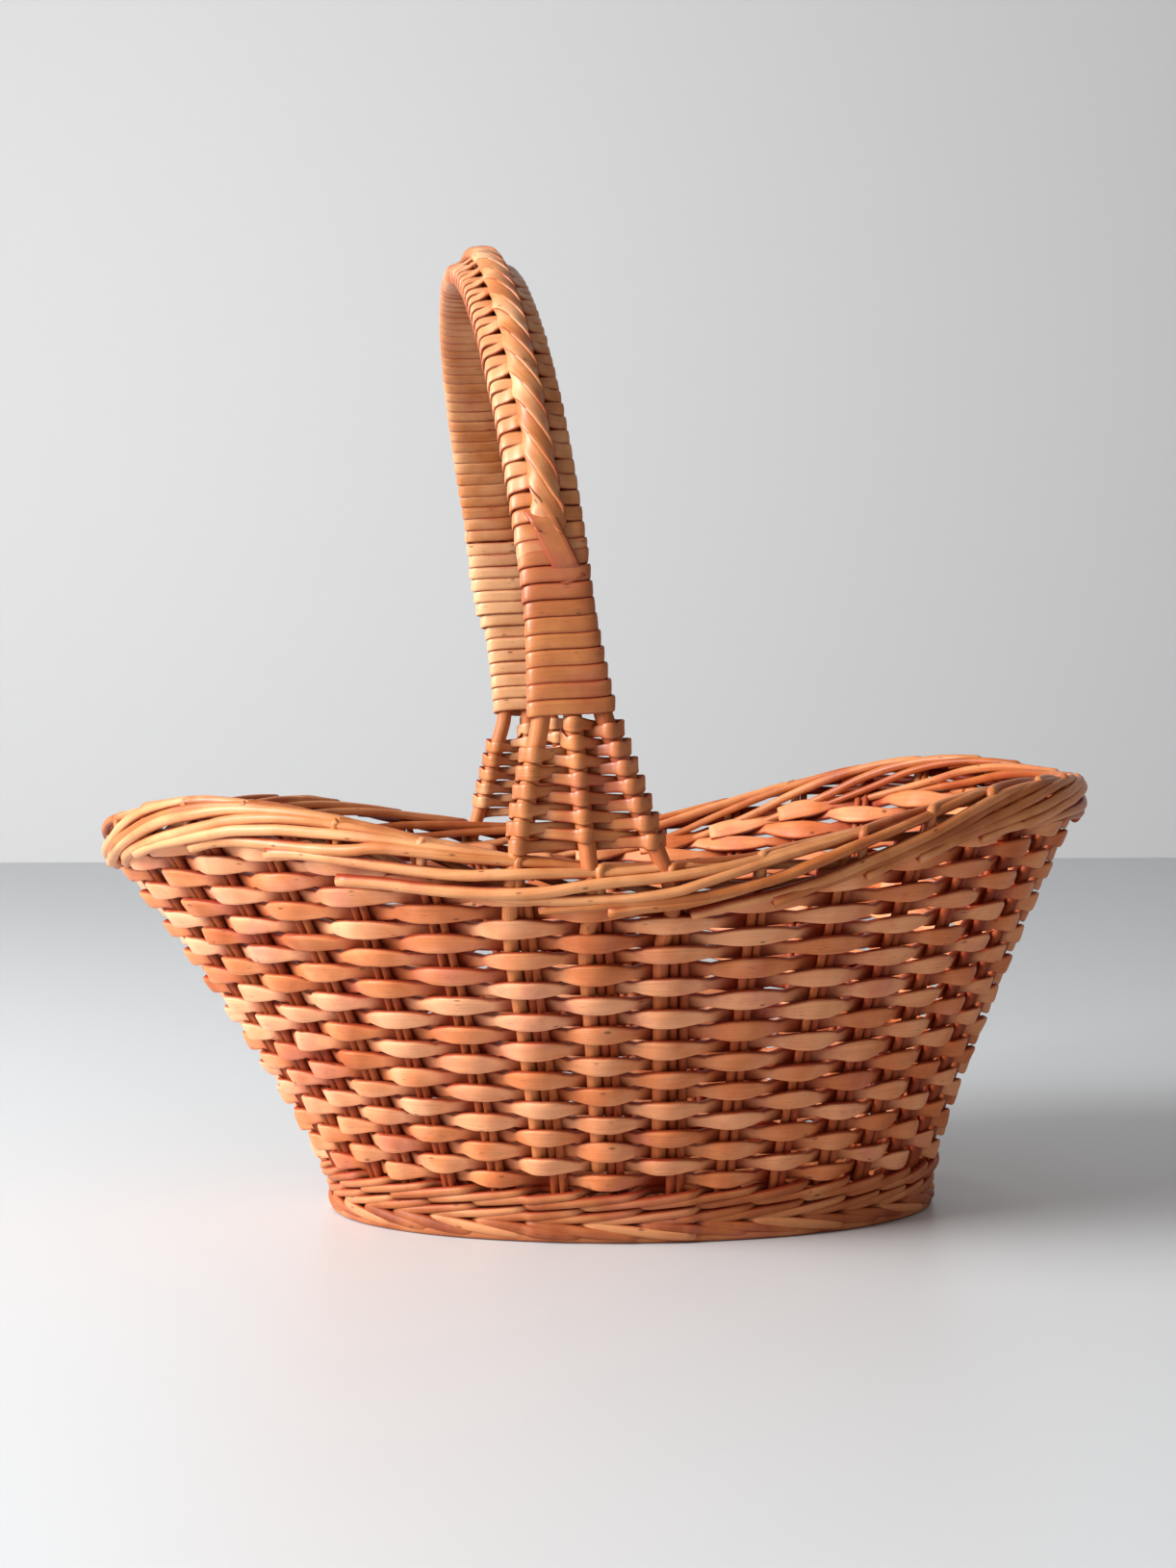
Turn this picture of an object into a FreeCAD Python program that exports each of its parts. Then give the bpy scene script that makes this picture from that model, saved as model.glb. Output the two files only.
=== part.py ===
"""Oval willow market basket with a fixed wrapped handle.

Frame: +X along the length towards the higher end, +Z up, the floor at Z = 0, and the origin
under the middle of the whole basket. Sizes are in millimetres. The side is woven round 36
groups of upright stakes. A place on the side is given as a stake number, which may be a
fraction, and a height.
"""
import FreeCAD, Part
import math
import os

from FreeCAD import Vector

DRIVING_SIZES = [
    ("stake_groups", 36, "groups of upright stakes round the side"),
    ("stake_dia", 3.4, "each upright stake"),
    ("rim_half_length", 196.0, "stake line at the rim, half the length"),
    ("rim_half_width", 142.0, "stake line at the rim, half the width"),
    ("rim_crowding", 0.12, "how much wider the stakes stand on the long sides, at the rim"),
    ("rim_lead", 0.15, "twist of the stakes at the rim, in stake gaps"),
    ("handle_pinch", 0.17, "the stakes by the handle stand closer by this part, at the rim"),
    ("rim_mean_height", 158.0, "middle of the border above the floor, mean"),
    ("rim_tilt", 8.1, "the border's rise to the right end and fall to the left"),
    ("rim_dip", 9.2, "its dip at the handle and rise at both ends"),
    ("rim_skew", 2.9, "its rise at the front left and the back right"),
    ("rim_tip", 1.6, "its rise at the right tip and fall at the left tip"),
    ("rim_shoulder", 7.0, "its rise between the handle and each end"),
    ("base_half_length", 120.0, "stake line at the base, half the length"),
    ("base_half_width", 70.0, "stake line at the base, half the width"),
    ("base_centre_x", 15.0, "the base stands this far towards the high end"),
    ("base_crowding", 0.3, "how much wider the stakes stand on the long sides, at the base"),
    ("base_lag", 0.17, "twist of the stakes at the base, in stake gaps"),
    ("flare_start", 8.0, "height at which the side starts to lean out"),
    ("flare_power", 1.18, "over 1 makes the side steeper near the base"),
    ("foot_top", 8.0, "top of the foot border"),
    ("wale_band", 7.0, "height of one round of three-rod wale"),
    ("wale_rod_dia", 2.5, "each wale rod"),
    ("foot_rod_dia", 3.0, "each rod of the foot border"),
    ("full_rows", 18, "rows of weaving that go all the way round"),
    ("row_pitch", 6.08, "height of one row of weaving, mean"),
    ("row_pitch_gain", 0.33, "rows are this much higher at the right end, lower at the left"),
    ("weaver_height", 5.8, "split willow weaver, across its flat"),
    ("weaver_thickness", 2.4, "split willow weaver, through its flat"),
    ("border_rod_dia", 3.4, "each rod of the rolled border"),
    ("border_half_height", 9.4, "rolled border, half its height"),
    ("border_half_depth", 6.9, "rolled border, half its thickness"),
    ("handle_foot_x", -14.1, "middle of the handle where it leaves the border"),
    ("handle_lean", 36.6, "how far the top of the handle leans towards the low end"),
    ("handle_skew", 0.7, "the back leg starts this far towards the low end, the front one away"),
    ("handle_twist", 8.3, "how much more the back of the handle leans, and the front less"),
    ("handle_half_span", 139.6, "radius of the handle's arch and half its span"),
    ("handle_spring", 241.6, "height at which the legs turn into the arch"),
    ("handle_rod_dia", 7.0, "each of the three rods of the handle"),
    ("handle_rod_tip_dia", 5.6, "the same rods where they stand in the side"),
    ("fan_bottom", 154.0, "bottom of the woven fan over the border"),
    ("fan_top", 203.0, "top of the woven fan, where the wrapping starts"),
    ("skein_width", 5.2, "flat willow skein of the wrapping"),
    ("skein_thickness", 1.1, "flat willow skein of the wrapping"),
    ("wrap_pitch", 5.8, "one turn of the wrapping along the handle"),
    ("rod_opening", 3.5, "how much further apart the handle rods stand where the fan starts"),
    ("fan_skein_width", 4.6, "flat willow skein of the fans"),
    ("ridge_strands", 4, "flat strands twisted into the ridge on the handle"),
    ("ridge_width", 11.5, "the ridge across the handle"),
    ("ridge_depth", 6.4, "how far the ridge stands out from the wrapping"),
    ("ridge_pitch", 45.0, "one twist of the ridge along the handle"),
    ("ridge_strand_width", 3.4, "each strand of the ridge, across its flat"),
    ("ridge_strand_thickness", 1.4, "each strand of the ridge, through its flat"),
    ("stick_dia", 5.2, "short sticks of the base cross"),
    ("long_stick_dia", 2.8, "long sticks, thin enough to pass through the short ones"),
    ("stick_gap_short", 15.0, "spacing of the short sticks"),
    ("stick_height", 11.5, "middle of the base cross above the floor"),
    ("base_weaver_dia", 3.2, "rods woven round the base cross"),
    ("base_rounds", 9, "rounds of weaving in the base"),
]

doc = FreeCAD.newDocument("market_basket")
sheet = doc.addObject("Spreadsheet::Sheet", "sizes")
for line, (alias, value, note) in enumerate(DRIVING_SIZES, start=1):
    sheet.set(f"A{line}", alias)
    sheet.set(f"B{line}", str(value))
    sheet.set(f"C{line}", note)
    sheet.setAlias(f"B{line}", alias)
doc.recompute()

GROUPS = int(sheet.stake_groups)
HALF_WAY = GROUPS // 2
ACROSS = Vector(1, 0, 0)
UP = Vector(0, 0, 1)
WALE_BOTTOM = sheet.foot_top
ROWS_BOTTOM = sheet.foot_top + 2 * sheet.wale_band
HANDLE_GROUPS_FRONT = (7, 8, 9)
HANDLE_GROUPS_BACK = (28, 27, 26)
HANDLE_GROUPS = HANDLE_GROUPS_FRONT + HANDLE_GROUPS_BACK
QUARTERS = {"left": range(-4, 5), "front": range(5, 14), "right": range(14, 23),
            "back": range(23, 32)}
PINCH_REACH = 2.2
RODS_PER_ROW = 3
ROW_STAGGER = 5
HIGHEST_SHORT_ROW = 23
GROUP_CLOSENESS = 0.82
ROW_ROOM = 0.15
END_REACH = 0.95
FLOAT_START = 0.03
FLOAT_LENGTH = 0.75
FOOT_WEAR = 0.9
FLOOR_REACH = 300.0
ROD_GAP = 0.2
nodes = {}


# ------------------------------------------------------------------ the side as a surface

class StakeOval:
    """An oval in plan on which stakes stand, closer together at its two ends."""

    STEPS = 1440

    def __init__(self, half_length, half_width, centre_x, crowding, shift, pinch):
        self.half_length = half_length
        self.half_width = half_width
        self.centre_x = centre_x
        self.crowding = crowding
        self.shift = shift
        self.pinch = pinch
        self.travel = [0.0]
        previous = self.point(math.pi)
        for step in range(1, self.STEPS + 1):
            here = self.point(math.pi * (1 + 2 * step / self.STEPS))
            self.travel.append(self.travel[-1] + here.distanceToPoint(previous))
            previous = here

    def point(self, angle):
        return Vector(self.centre_x + self.half_length * math.cos(angle),
                      self.half_width * math.sin(angle), 0)

    def angle(self, stake):
        """The oval's angle at a stake number, from the left end round by the front."""
        for groups in (HANDLE_GROUPS_FRONT, HANDLE_GROUPS_BACK):
            away = (stake - groups[1] + HALF_WAY) % GROUPS - HALF_WAY
            stake -= self.pinch * away * math.exp(-(away / PINCH_REACH) ** 2)
        turn = (stake + 0.5 + self.shift) / GROUPS
        turn -= self.crowding * math.sin(4 * math.pi * turn) / (4 * math.pi)
        whole = math.floor(turn)
        target = (turn - whole) * self.travel[-1]
        low, high = 0, self.STEPS
        while high - low > 1:
            middle = (low + high) // 2
            if self.travel[middle] <= target:
                low = middle
            else:
                high = middle
        part = (target - self.travel[low]) / (self.travel[high] - self.travel[low])
        return math.pi * (1 + 2 * (whole + (low + part) / self.STEPS))

    def at(self, stake):
        return self.point(self.angle(stake))


rim_oval = StakeOval(sheet.rim_half_length, sheet.rim_half_width, 0.0,
                     sheet.rim_crowding, sheet.rim_lead, sheet.handle_pinch)
base_oval = StakeOval(sheet.base_half_length, sheet.base_half_width, sheet.base_centre_x,
                      sheet.base_crowding, -sheet.base_lag, 0.0)


def rim_height(stake):
    """Height of the middle of the border: low at the handle, high at both ends."""
    angle = rim_oval.angle(stake)
    return (sheet.rim_mean_height + sheet.rim_tilt * math.cos(angle)
            + sheet.rim_dip * math.cos(2 * angle) + sheet.rim_skew * math.sin(2 * angle)
            + sheet.rim_tip * math.cos(3 * angle) - sheet.rim_shoulder * math.cos(4 * angle))


def side_point(stake, height):
    rise = (height - sheet.flare_start) / (rim_height(stake) - sheet.flare_start)
    flare = max(rise, 0.0) ** sheet.flare_power
    point = base_oval.at(stake) * (1 - flare) + rim_oval.at(stake) * flare
    point.z = height
    return point


def side_frame(stake, height):
    """The point on the side with its directions along the row, up the side and outwards."""
    ahead = side_point(stake + 0.02, height) - side_point(stake - 0.02, height)
    climb = side_point(stake, height + 1.0) - side_point(stake, height - 1.0)
    along = ahead.normalize()
    outward = along.cross(climb).normalize()
    upward = outward.cross(along).normalize()
    return side_point(stake, height), along, upward, outward


def group_half_depth(group):
    """Half the thickness of a stake group: a handle rod stands in some of them."""
    if group % GROUPS in HANDLE_GROUPS:
        return sheet.handle_rod_tip_dia / 2
    return sheet.stake_dia / 2


def group_half_width(group, height):
    """Half the width of a stake group along the row, in stake gaps at this height."""
    gap = side_point(group + 0.5, height).distanceToPoint(side_point(group - 0.5, height))
    half = GROUP_CLOSENESS * sheet.stake_dia
    if group % GROUPS in HANDLE_GROUPS:
        half = sheet.handle_rod_tip_dia / 2 + sheet.stake_dia
    return half / gap


# ------------------------------------------------------------------------- rods as solids

def ellipse_wire(centre, first, second):
    """An ellipse whose conjugate radii are the two vectors given."""
    normal = first.cross(second).normalize()
    matrix = FreeCAD.Matrix(first.x, second.x, normal.x, centre.x,
                            first.y, second.y, normal.y, centre.y,
                            first.z, second.z, normal.z, centre.z, 0, 0, 0, 1)
    circle = Part.Circle(Vector(0, 0, 0), UP, 1.0).toShape()
    return Part.Wire(circle.transformGeometry(matrix))


def flat_wire(centre, first, second):
    """A rectangle whose half sides are the two vectors given."""
    corners = [centre + first + second, centre - first + second,
               centre - first - second, centre + first - second]
    return Part.makePolygon(corners + corners[:1])


def rod(path, ups, half_heights, half_depths, section=ellipse_wire):
    """A solid along straight runs between the path's points, mitred at each point.

    ups says which way each section's height points. The half sizes are one number for the
    whole rod or one for each point.
    """
    count = len(path)
    if not isinstance(half_heights, list):
        half_heights = [half_heights] * count
    if not isinstance(half_depths, list):
        half_depths = [half_depths] * count
    sections = []
    for index, centre in enumerate(path):
        before = (centre - path[max(index - 1, 0)])
        after = (path[min(index + 1, count - 1)] - centre)
        before = after if before.Length == 0 else before
        after = before if after.Length == 0 else after
        before = Vector(before).normalize()
        after = Vector(after).normalize()
        mitre = (before + after).normalize()
        stretch = 1.0 / max(mitre.dot(after), 0.5)
        side = mitre.cross(ups[index]).normalize()
        height = side.cross(mitre).normalize()
        sections.append(section(centre, height * half_heights[index],
                                side * (half_depths[index] * stretch)))
    return Part.makeLoft(sections, True, True)


def add_piece(name, solids):
    """Store one sub-part: its solids become a labelled object of the document."""
    piece = doc.addObject("Part::Feature", name)
    piece.Label = name
    piece.Shape = Part.makeCompound(solids) if len(solids) > 1 else solids[0]
    piece.Placement = FreeCAD.Placement()
    nodes[name] = piece


# ----------------------------------------------------------------------- side weaving rows

def row_height(group, row):
    """Height of a row at a stake group: the rows lie nearly level under a border that dips."""
    pitch = sheet.row_pitch + sheet.row_pitch_gain * math.cos(rim_oval.angle(group))
    return ROWS_BOTTOM + (row + 0.5) * pitch


def row_fits(group, row):
    """Whether there is room for the row between the floor and the border."""
    room = sheet.border_half_height + ROW_ROOM * sheet.weaver_height
    return row_height(group, row) <= rim_height(group) - room


def is_outside(group, row):
    return (group + row) % 2 == 0


def weave_points(first, last, row):
    """Knots of one weaver: outside one stake group, inside the next, and so on."""
    path = []
    ups = []
    for group in range(first, last + 1):
        height = row_height(group, row)
        half_width = group_half_width(group, height)
        offset = group_half_depth(group) + sheet.weaver_thickness / 2 + ROD_GAP
        if not is_outside(group, row):
            offset = -offset
        for step in (-half_width, half_width):
            point, along, upward, outward = side_frame(group + step, height)
            path.append(point + outward * offset)
            ups.append(upward)
    return path, ups


def almost(start, goal):
    """A point just short of the goal, so that two rods' ends don't touch."""
    return start + (goal - start) * END_REACH


def weaver_rod(path, ups):
    return rod(path, ups, sheet.weaver_height / 2, sheet.weaver_thickness / 2)


def build_full_rows():
    """Each full row is three rods that follow each other, with their ends inside."""
    length = GROUPS // RODS_PER_ROW
    for row in range(int(sheet.full_rows)):
        solids = []
        for number in range(RODS_PER_ROW):
            first = (ROW_STAGGER * row + 1) % GROUPS + number * length
            path, ups = weave_points(first, first + length, row)
            path = path[:-2] + [almost(path[-3], path[-2])]
            solids.append(weaver_rod(path, ups[:-1]))
        add_piece(f"side_row_{row + 1:02d}", solids)


def short_runs(row):
    """First and last group of each run of groups with room for a short row.

    A short row starts and ends inside the basket, so a run gives up a group at an end that
    would be outside.
    """
    runs = []
    start = HANDLE_GROUPS_FRONT[1]
    first = None
    for group in range(start, start + GROUPS + 1):
        if row_fits(group, row):
            first = group if first is None else first
            continue
        if first is not None:
            first += is_outside(first, row)
            last = group - 1 - is_outside(group - 1, row)
            if last - first >= 2:
                runs.append((first, last))
        first = None
    return runs


def build_short_rows():
    """Short rows fill the room that the rising border leaves at both ends."""
    solids = {"left": [], "right": []}
    for row in range(int(sheet.full_rows), HIGHEST_SHORT_ROW + 1):
        for first, last in short_runs(row):
            end = "right" if first < HANDLE_GROUPS_BACK[1] else "left"
            solids[end].append(weaver_rod(*weave_points(first, last, row)))
    for end, rods in solids.items():
        add_piece(f"packing_rows_{end}", rods)


# ------------------------------------------------------------------- wales and foot border

def wale_strand(number, bottom, rod_dia, band, falls):
    """One of three rods that pass outside two stake groups and inside the third.

    Each float climbs from the bottom of the band to the top, or falls when falls is true.
    """
    path = []
    ups = []
    climb = band - rod_dia
    for group in range(number, number + GROUPS):
        phase = (group - number) % 3
        inside = phase == 0
        half_width = group_half_width(group, bottom)
        depth = group_half_depth(group) + rod_dia / 2 + ROD_GAP
        for step in (-half_width, half_width):
            travel = (phase + step) / 3.0
            share = min(max((travel - FLOAT_START) / FLOAT_LENGTH, 0.0), 1.0)
            if inside:
                share = 0.5 - step / (4 * half_width)
            if falls:
                share = 1 - share
            height = bottom + rod_dia / 2 + share * climb
            point, along, upward, outward = side_frame(group + step, height)
            path.append(point + outward * (-depth if inside else depth))
            ups.append(upward)
    path.append(almost(path[-1], path[0]))
    ups.append(ups[0])
    return rod(path, ups, rod_dia / 2, rod_dia / 2)


def build_wales():
    for name, bottom in (("lower_wale", WALE_BOTTOM), ("upper_wale", WALE_BOTTOM + sheet.wale_band)):
        add_piece(name, [wale_strand(number, bottom, sheet.wale_rod_dia, sheet.wale_band, False)
                         for number in range(3)])


def build_foot_border():
    """The foot border stands on the floor: its rods are worn flat underneath."""
    room = Part.makeBox(FLOOR_REACH * 2, FLOOR_REACH * 2, FLOOR_REACH,
                        Vector(-FLOOR_REACH, -FLOOR_REACH, 0))
    solids = []
    for number in range(3):
        strand = wale_strand(number, -FOOT_WEAR, sheet.foot_rod_dia, sheet.foot_top + FOOT_WEAR,
                             True)
        solids.append(strand.common(room).Solids[0])
    add_piece("foot_border", solids)


# -------------------------------------------------------------------------------- stakes

STAKE_BOTTOM = 2.0
BYE_STAKE_BOTTOM = 9.0
STAKE_IN_BORDER = 3.0
BYE_STAKE_DROP = 5.0
STAKE_RUNS = 6


def stake_path(group, shift, bottom, top, steps):
    path = []
    ups = []
    for step in range(steps + 1):
        height = bottom + (top - bottom) * step / steps
        point, along, upward, outward = side_frame(group, height)
        path.append(point + along * shift)
        ups.append(outward)
    return path, ups


def build_stakes():
    """Each group holds a main stake and a bye-stake side by side, and six a handle rod too."""
    radius = sheet.stake_dia / 2
    beside_rod = sheet.handle_rod_tip_dia / 2 - radius + ROD_GAP / 2
    for quarter, groups in QUARTERS.items():
        mains = []
        byes = []
        for group in groups:
            place = beside_rod if group % GROUPS in HANDLE_GROUPS else -radius - ROD_GAP / 4
            top = rim_height(group)
            path, ups = stake_path(group, place, STAKE_BOTTOM, top + STAKE_IN_BORDER, STAKE_RUNS)
            mains.append(rod(path, ups, radius, radius))
            place += sheet.stake_dia + ROD_GAP / 2
            path, ups = stake_path(group, place, BYE_STAKE_BOTTOM, top - BYE_STAKE_DROP, STAKE_RUNS)
            byes.append(rod(path, ups, radius, radius))
        add_piece(f"stakes_{quarter}", mains)
        add_piece(f"bye_stakes_{quarter}", byes)


# -------------------------------------------------------------------------- rolled border

BORDER_BOXINESS = (0.6, 0.8)
OUTSIDE_TURN = (math.radians(-80), math.radians(95))
INSIDE_TURN = (math.radians(128), math.radians(262))
BORDER_RUN = 5.5
TAIL_RUN = 4.0


def border_point(stake, turn_angle):
    """A place on the border's boxy oval section; the angle starts outside and goes up."""
    centre = rim_oval.at(stake)
    centre.z = rim_height(stake)
    ahead = rim_oval.at(stake + 0.05) - rim_oval.at(stake - 0.05)
    outward = ahead.normalize().cross(UP)
    depth = sheet.border_half_depth - sheet.border_rod_dia / 2
    height = sheet.border_half_height - sheet.border_rod_dia / 2
    cosine = math.cos(turn_angle)
    sine = math.sin(turn_angle)
    across = math.copysign(abs(cosine) ** BORDER_BOXINESS[0], cosine)
    rise = math.copysign(abs(sine) ** BORDER_BOXINESS[1], sine)
    return centre + outward * (depth * across) + UP * (height * rise), outward


def border_rod(start, length, first_angle, last_angle):
    path = []
    ups = []
    steps = int(2 * length)
    for step in range(steps + 1):
        angle = first_angle + (last_angle - first_angle) * step / steps
        point, outward = border_point(start + length * step / steps, angle)
        path.append(point)
        ups.append(outward)
    return rod(path, ups, sheet.border_rod_dia / 2, sheet.border_rod_dia / 2)


def build_border():
    """Stake tops roll over to the right: outside and over the top, with tails inside."""
    for quarter, groups in QUARTERS.items():
        add_piece(f"border_rods_{quarter}",
                  [border_rod(group, BORDER_RUN, *OUTSIDE_TURN) for group in groups])
        add_piece(f"border_tails_{quarter}",
                  [border_rod(group, TAIL_RUN, *INSIDE_TURN) for group in groups])


# -------------------------------------------------------------------------------- handle

ARCH_STEPS = 24
LEG = sheet.handle_spring - sheet.fan_top
ARCH = math.pi * sheet.handle_half_span
WRAPPED = 2 * LEG + ARCH
HANDLE_TOP = sheet.handle_spring + sheet.handle_half_span
LEAN_POWER = 1.1
OPENING_POWER = 1.3
LEG_KNOTS = (30.0, 60.0, 90.0, 120.0)
ROD_BELOW_BORDER_MIDDLE = 4.0
FAN_KNOT = 170.0


def handle_frame(travel):
    """The handle's middle line, from the top of the front fan over to the back one."""
    span = sheet.handle_half_span
    if travel < LEG:
        place = Vector(0, -span, sheet.fan_top + travel)
        outward = Vector(0, -1, 0)
    elif travel > LEG + ARCH:
        place = Vector(0, span, sheet.fan_top + WRAPPED - travel)
        outward = Vector(0, 1, 0)
    else:
        angle = (travel - LEG) / span
        outward = Vector(0, -math.cos(angle), math.sin(angle))
        place = Vector(0, 0, sheet.handle_spring) + outward * span
    place.x = handle_x(place)
    return place, outward


def handle_x(place):
    """The handle leans towards the low end as it rises, its back more than its front."""
    rise = max((place.z - sheet.fan_bottom) / (HANDLE_TOP - sheet.fan_bottom), 0.0)
    depth = place.y / sheet.handle_half_span
    return (sheet.handle_foot_x - sheet.handle_lean * rise ** LEAN_POWER
            - (sheet.handle_skew + sheet.handle_twist * rise) * depth)


def rod_spacing(travel):
    """Spacing of the three rods: touching over the arch, opening towards the fans."""
    from_end = min(travel, WRAPPED - travel)
    opening = max(1 - from_end / LEG, 0.0)
    return sheet.handle_rod_dia + ROD_GAP + sheet.rod_opening * opening ** OPENING_POWER


def fan_point(group, place, side_sign, height):
    """A handle rod's place in the fan, where it runs straight from border to wrapping."""
    low = rim_oval.at(group)
    low.z = rim_height(group) - ROD_BELOW_BORDER_MIDDLE
    high = handle_frame(0.0 if side_sign < 0 else WRAPPED)[0]
    high.x += place * rod_spacing(0.0)
    return low + (high - low) * ((height - low.z) / (high.z - low.z))


def leg_points(group, place, side_sign):
    """A handle rod from inside the weaving up through the border to the fan's top."""
    points = []
    for height in LEG_KNOTS:
        point, along, upward, outward = side_frame(group, height)
        points.append(point - along * sheet.stake_dia)
    points.append(fan_point(group, place, side_sign, rim_height(group) - ROD_BELOW_BORDER_MIDDLE))
    points.append(fan_point(group, place, side_sign, FAN_KNOT))
    return points


def build_handle_rods():
    names = {-1: "handle_rod_left", 0: "handle_rod_middle", 1: "handle_rod_right"}
    full = sheet.handle_rod_dia / 2
    thin = sheet.handle_rod_tip_dia / 2
    arch = [LEG + ARCH * step / ARCH_STEPS for step in range(ARCH_STEPS + 1)]
    stations = [0.0, LEG / 2] + arch + [WRAPPED - LEG / 2, WRAPPED]
    for place, name in names.items():
        front = leg_points(HANDLE_GROUPS_FRONT[place + 1], place, -1)
        back = leg_points(HANDLE_GROUPS_BACK[place + 1], place, 1)
        back.reverse()
        middle = []
        for travel in stations:
            centre, outward = handle_frame(travel)
            middle.append(centre + ACROSS * (place * rod_spacing(travel)))
        path = front + middle + back
        radii = [thin] * len(front) + [full] * len(middle) + [thin] * len(back)
        add_piece(name, [rod(path, [ACROSS] * len(path), radii, radii)])


# --------------------------------------------------------------------- handle wrapping

WRAP_CORNERS = 8
WRAP_BOXINESS = (0.7, 0.45)
WRAP_SLACK = 1.06
WRAP_END = 1.5
WRAP_BREAK = 3.0
FRONT_LEG_END = LEG + 18.0
BACK_LEG_START = LEG + ARCH - 40.0
RIDGE_START = LEG + 22.0
RIDGE_END = LEG + ARCH - 60.0
RIDGE_STEPS = 90
RIDGE_END_RUN = 25.0
RIDGE_END_DEPTH = 0.5


def wrap_skein(start, end):
    """One flat skein wound round the three rods between two distances along the handle."""
    path = []
    ups = []
    count = int((end - start) / sheet.wrap_pitch * WRAP_CORNERS)
    half_depth = (sheet.handle_rod_dia + ROD_GAP + sheet.skein_thickness) / 2
    for step in range(count + 1):
        travel = start + (end - start) * step / count
        turn = 2 * math.pi * step / WRAP_CORNERS
        centre, outward = handle_frame(travel)
        half_width = rod_spacing(travel) + half_depth
        across = math.copysign(abs(math.cos(turn)) ** WRAP_BOXINESS[0], math.cos(turn))
        through = math.copysign(abs(math.sin(turn)) ** WRAP_BOXINESS[1], math.sin(turn))
        path.append(centre + ACROSS * (across * half_width * WRAP_SLACK)
                    + outward * (through * half_depth * WRAP_SLACK))
        ups.append(outward.cross(ACROSS))
    return rod(path, ups, sheet.skein_width / 2, sheet.skein_thickness / 2, flat_wire)


def ridge_strand(number):
    """One of the flat strands that twist round each other along the handle's outside.

    The ridge lies flatter at both ends.
    """
    path = []
    ups = []
    wrap_top = WRAP_SLACK * (sheet.handle_rod_dia + ROD_GAP + 2 * sheet.skein_thickness) / 2
    orbit_width = (sheet.ridge_width - sheet.ridge_strand_thickness) / 2
    for step in range(RIDGE_STEPS + 1):
        travel = RIDGE_START + (RIDGE_END - RIDGE_START) * step / RIDGE_STEPS
        turn = 2 * math.pi * ((travel - RIDGE_START) / sheet.ridge_pitch
                              + number / sheet.ridge_strands)
        from_end = min(travel - RIDGE_START, RIDGE_END - travel)
        fullness = min(RIDGE_END_DEPTH + (1 - RIDGE_END_DEPTH) * from_end / RIDGE_END_RUN, 1.0)
        depth = sheet.ridge_depth * fullness
        orbit_depth = (depth - sheet.ridge_strand_thickness) / 2
        centre, outward = handle_frame(travel)
        away = ACROSS * (orbit_width * math.cos(turn)) + outward * (orbit_depth * math.sin(turn))
        path.append(centre + outward * (wrap_top + ROD_GAP + depth / 2) + away)
        ups.append(ACROSS * (-orbit_width * math.sin(turn)) + outward * (orbit_depth * math.cos(turn)))
    return rod(path, ups, sheet.ridge_strand_width / 2, sheet.ridge_strand_thickness / 2)


def build_handle_wraps():
    add_piece("wrap_front_leg", [wrap_skein(WRAP_END, FRONT_LEG_END)])
    add_piece("wrap_over_arch", [wrap_skein(FRONT_LEG_END + WRAP_BREAK, BACK_LEG_START)])
    add_piece("wrap_back_leg", [wrap_skein(BACK_LEG_START + WRAP_BREAK, WRAPPED - WRAP_END)])
    add_piece("ridge_strands",
              [ridge_strand(number) for number in range(int(sheet.ridge_strands))])


# -------------------------------------------------------------------------- woven fans

FAN_WEAVE_START = 12.0
FAN_WEAVE_END = 2.0
FAN_PASSES = 6
FAN_KNOT_REACH = 3.0


def fan_weave(groups, side_sign):
    """A skein woven to and fro over the three spread rods between border and wrapping.

    Each pass is level, and the skein climbs to the next pass round an outer rod.
    """
    bottom = sheet.fan_bottom + FAN_WEAVE_START
    pitch = (sheet.fan_top - FAN_WEAVE_END - bottom) / FAN_PASSES
    depth = (sheet.handle_rod_dia + sheet.skein_thickness) / 2 + ROD_GAP
    path = []
    for number in range(FAN_PASSES):
        height = bottom + pitch * (number + 0.5)
        heading = 1 if number % 2 == 0 else -1
        for position, place in enumerate((-heading, 0, heading)):
            at_rod = fan_point(groups[place + 1], place, side_sign, height)
            over = 1 if (number + position) % 2 == 0 else -1
            away = Vector(0, side_sign * over * depth, 0)
            for step in (-FAN_KNOT_REACH, FAN_KNOT_REACH):
                path.append(at_rod + away + ACROSS * (heading * step))
        if number < FAN_PASSES - 1:
            path.append(at_rod + ACROSS * (heading * (depth + FAN_KNOT_REACH / 2)) + UP * (pitch / 2))
    return rod(path, [UP] * len(path), sheet.fan_skein_width / 2, sheet.skein_thickness / 2,
               flat_wire)


def build_fans():
    add_piece("fan_weave_front", [fan_weave(HANDLE_GROUPS_FRONT, -1)])
    add_piece("fan_weave_back", [fan_weave(HANDLE_GROUPS_BACK, 1)])


# ---------------------------------------------------------------------------------- base

SHORT_STICKS = 7
FAN_ANGLES = (-40, -19, 0, 19, 40)
EDGE_INSET = 5.0
SLATH_INSET = 55.0
SLIT_SPARE = 2.2


def inner_half_width(x_place):
    """Room for a short stick at this place along the base."""
    half_length = sheet.base_half_length - EDGE_INSET
    half_width = sheet.base_half_width - EDGE_INSET
    share = (x_place - sheet.base_centre_x) / half_length
    return half_width * math.sqrt(max(1 - share * share, 0.0))


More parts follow.
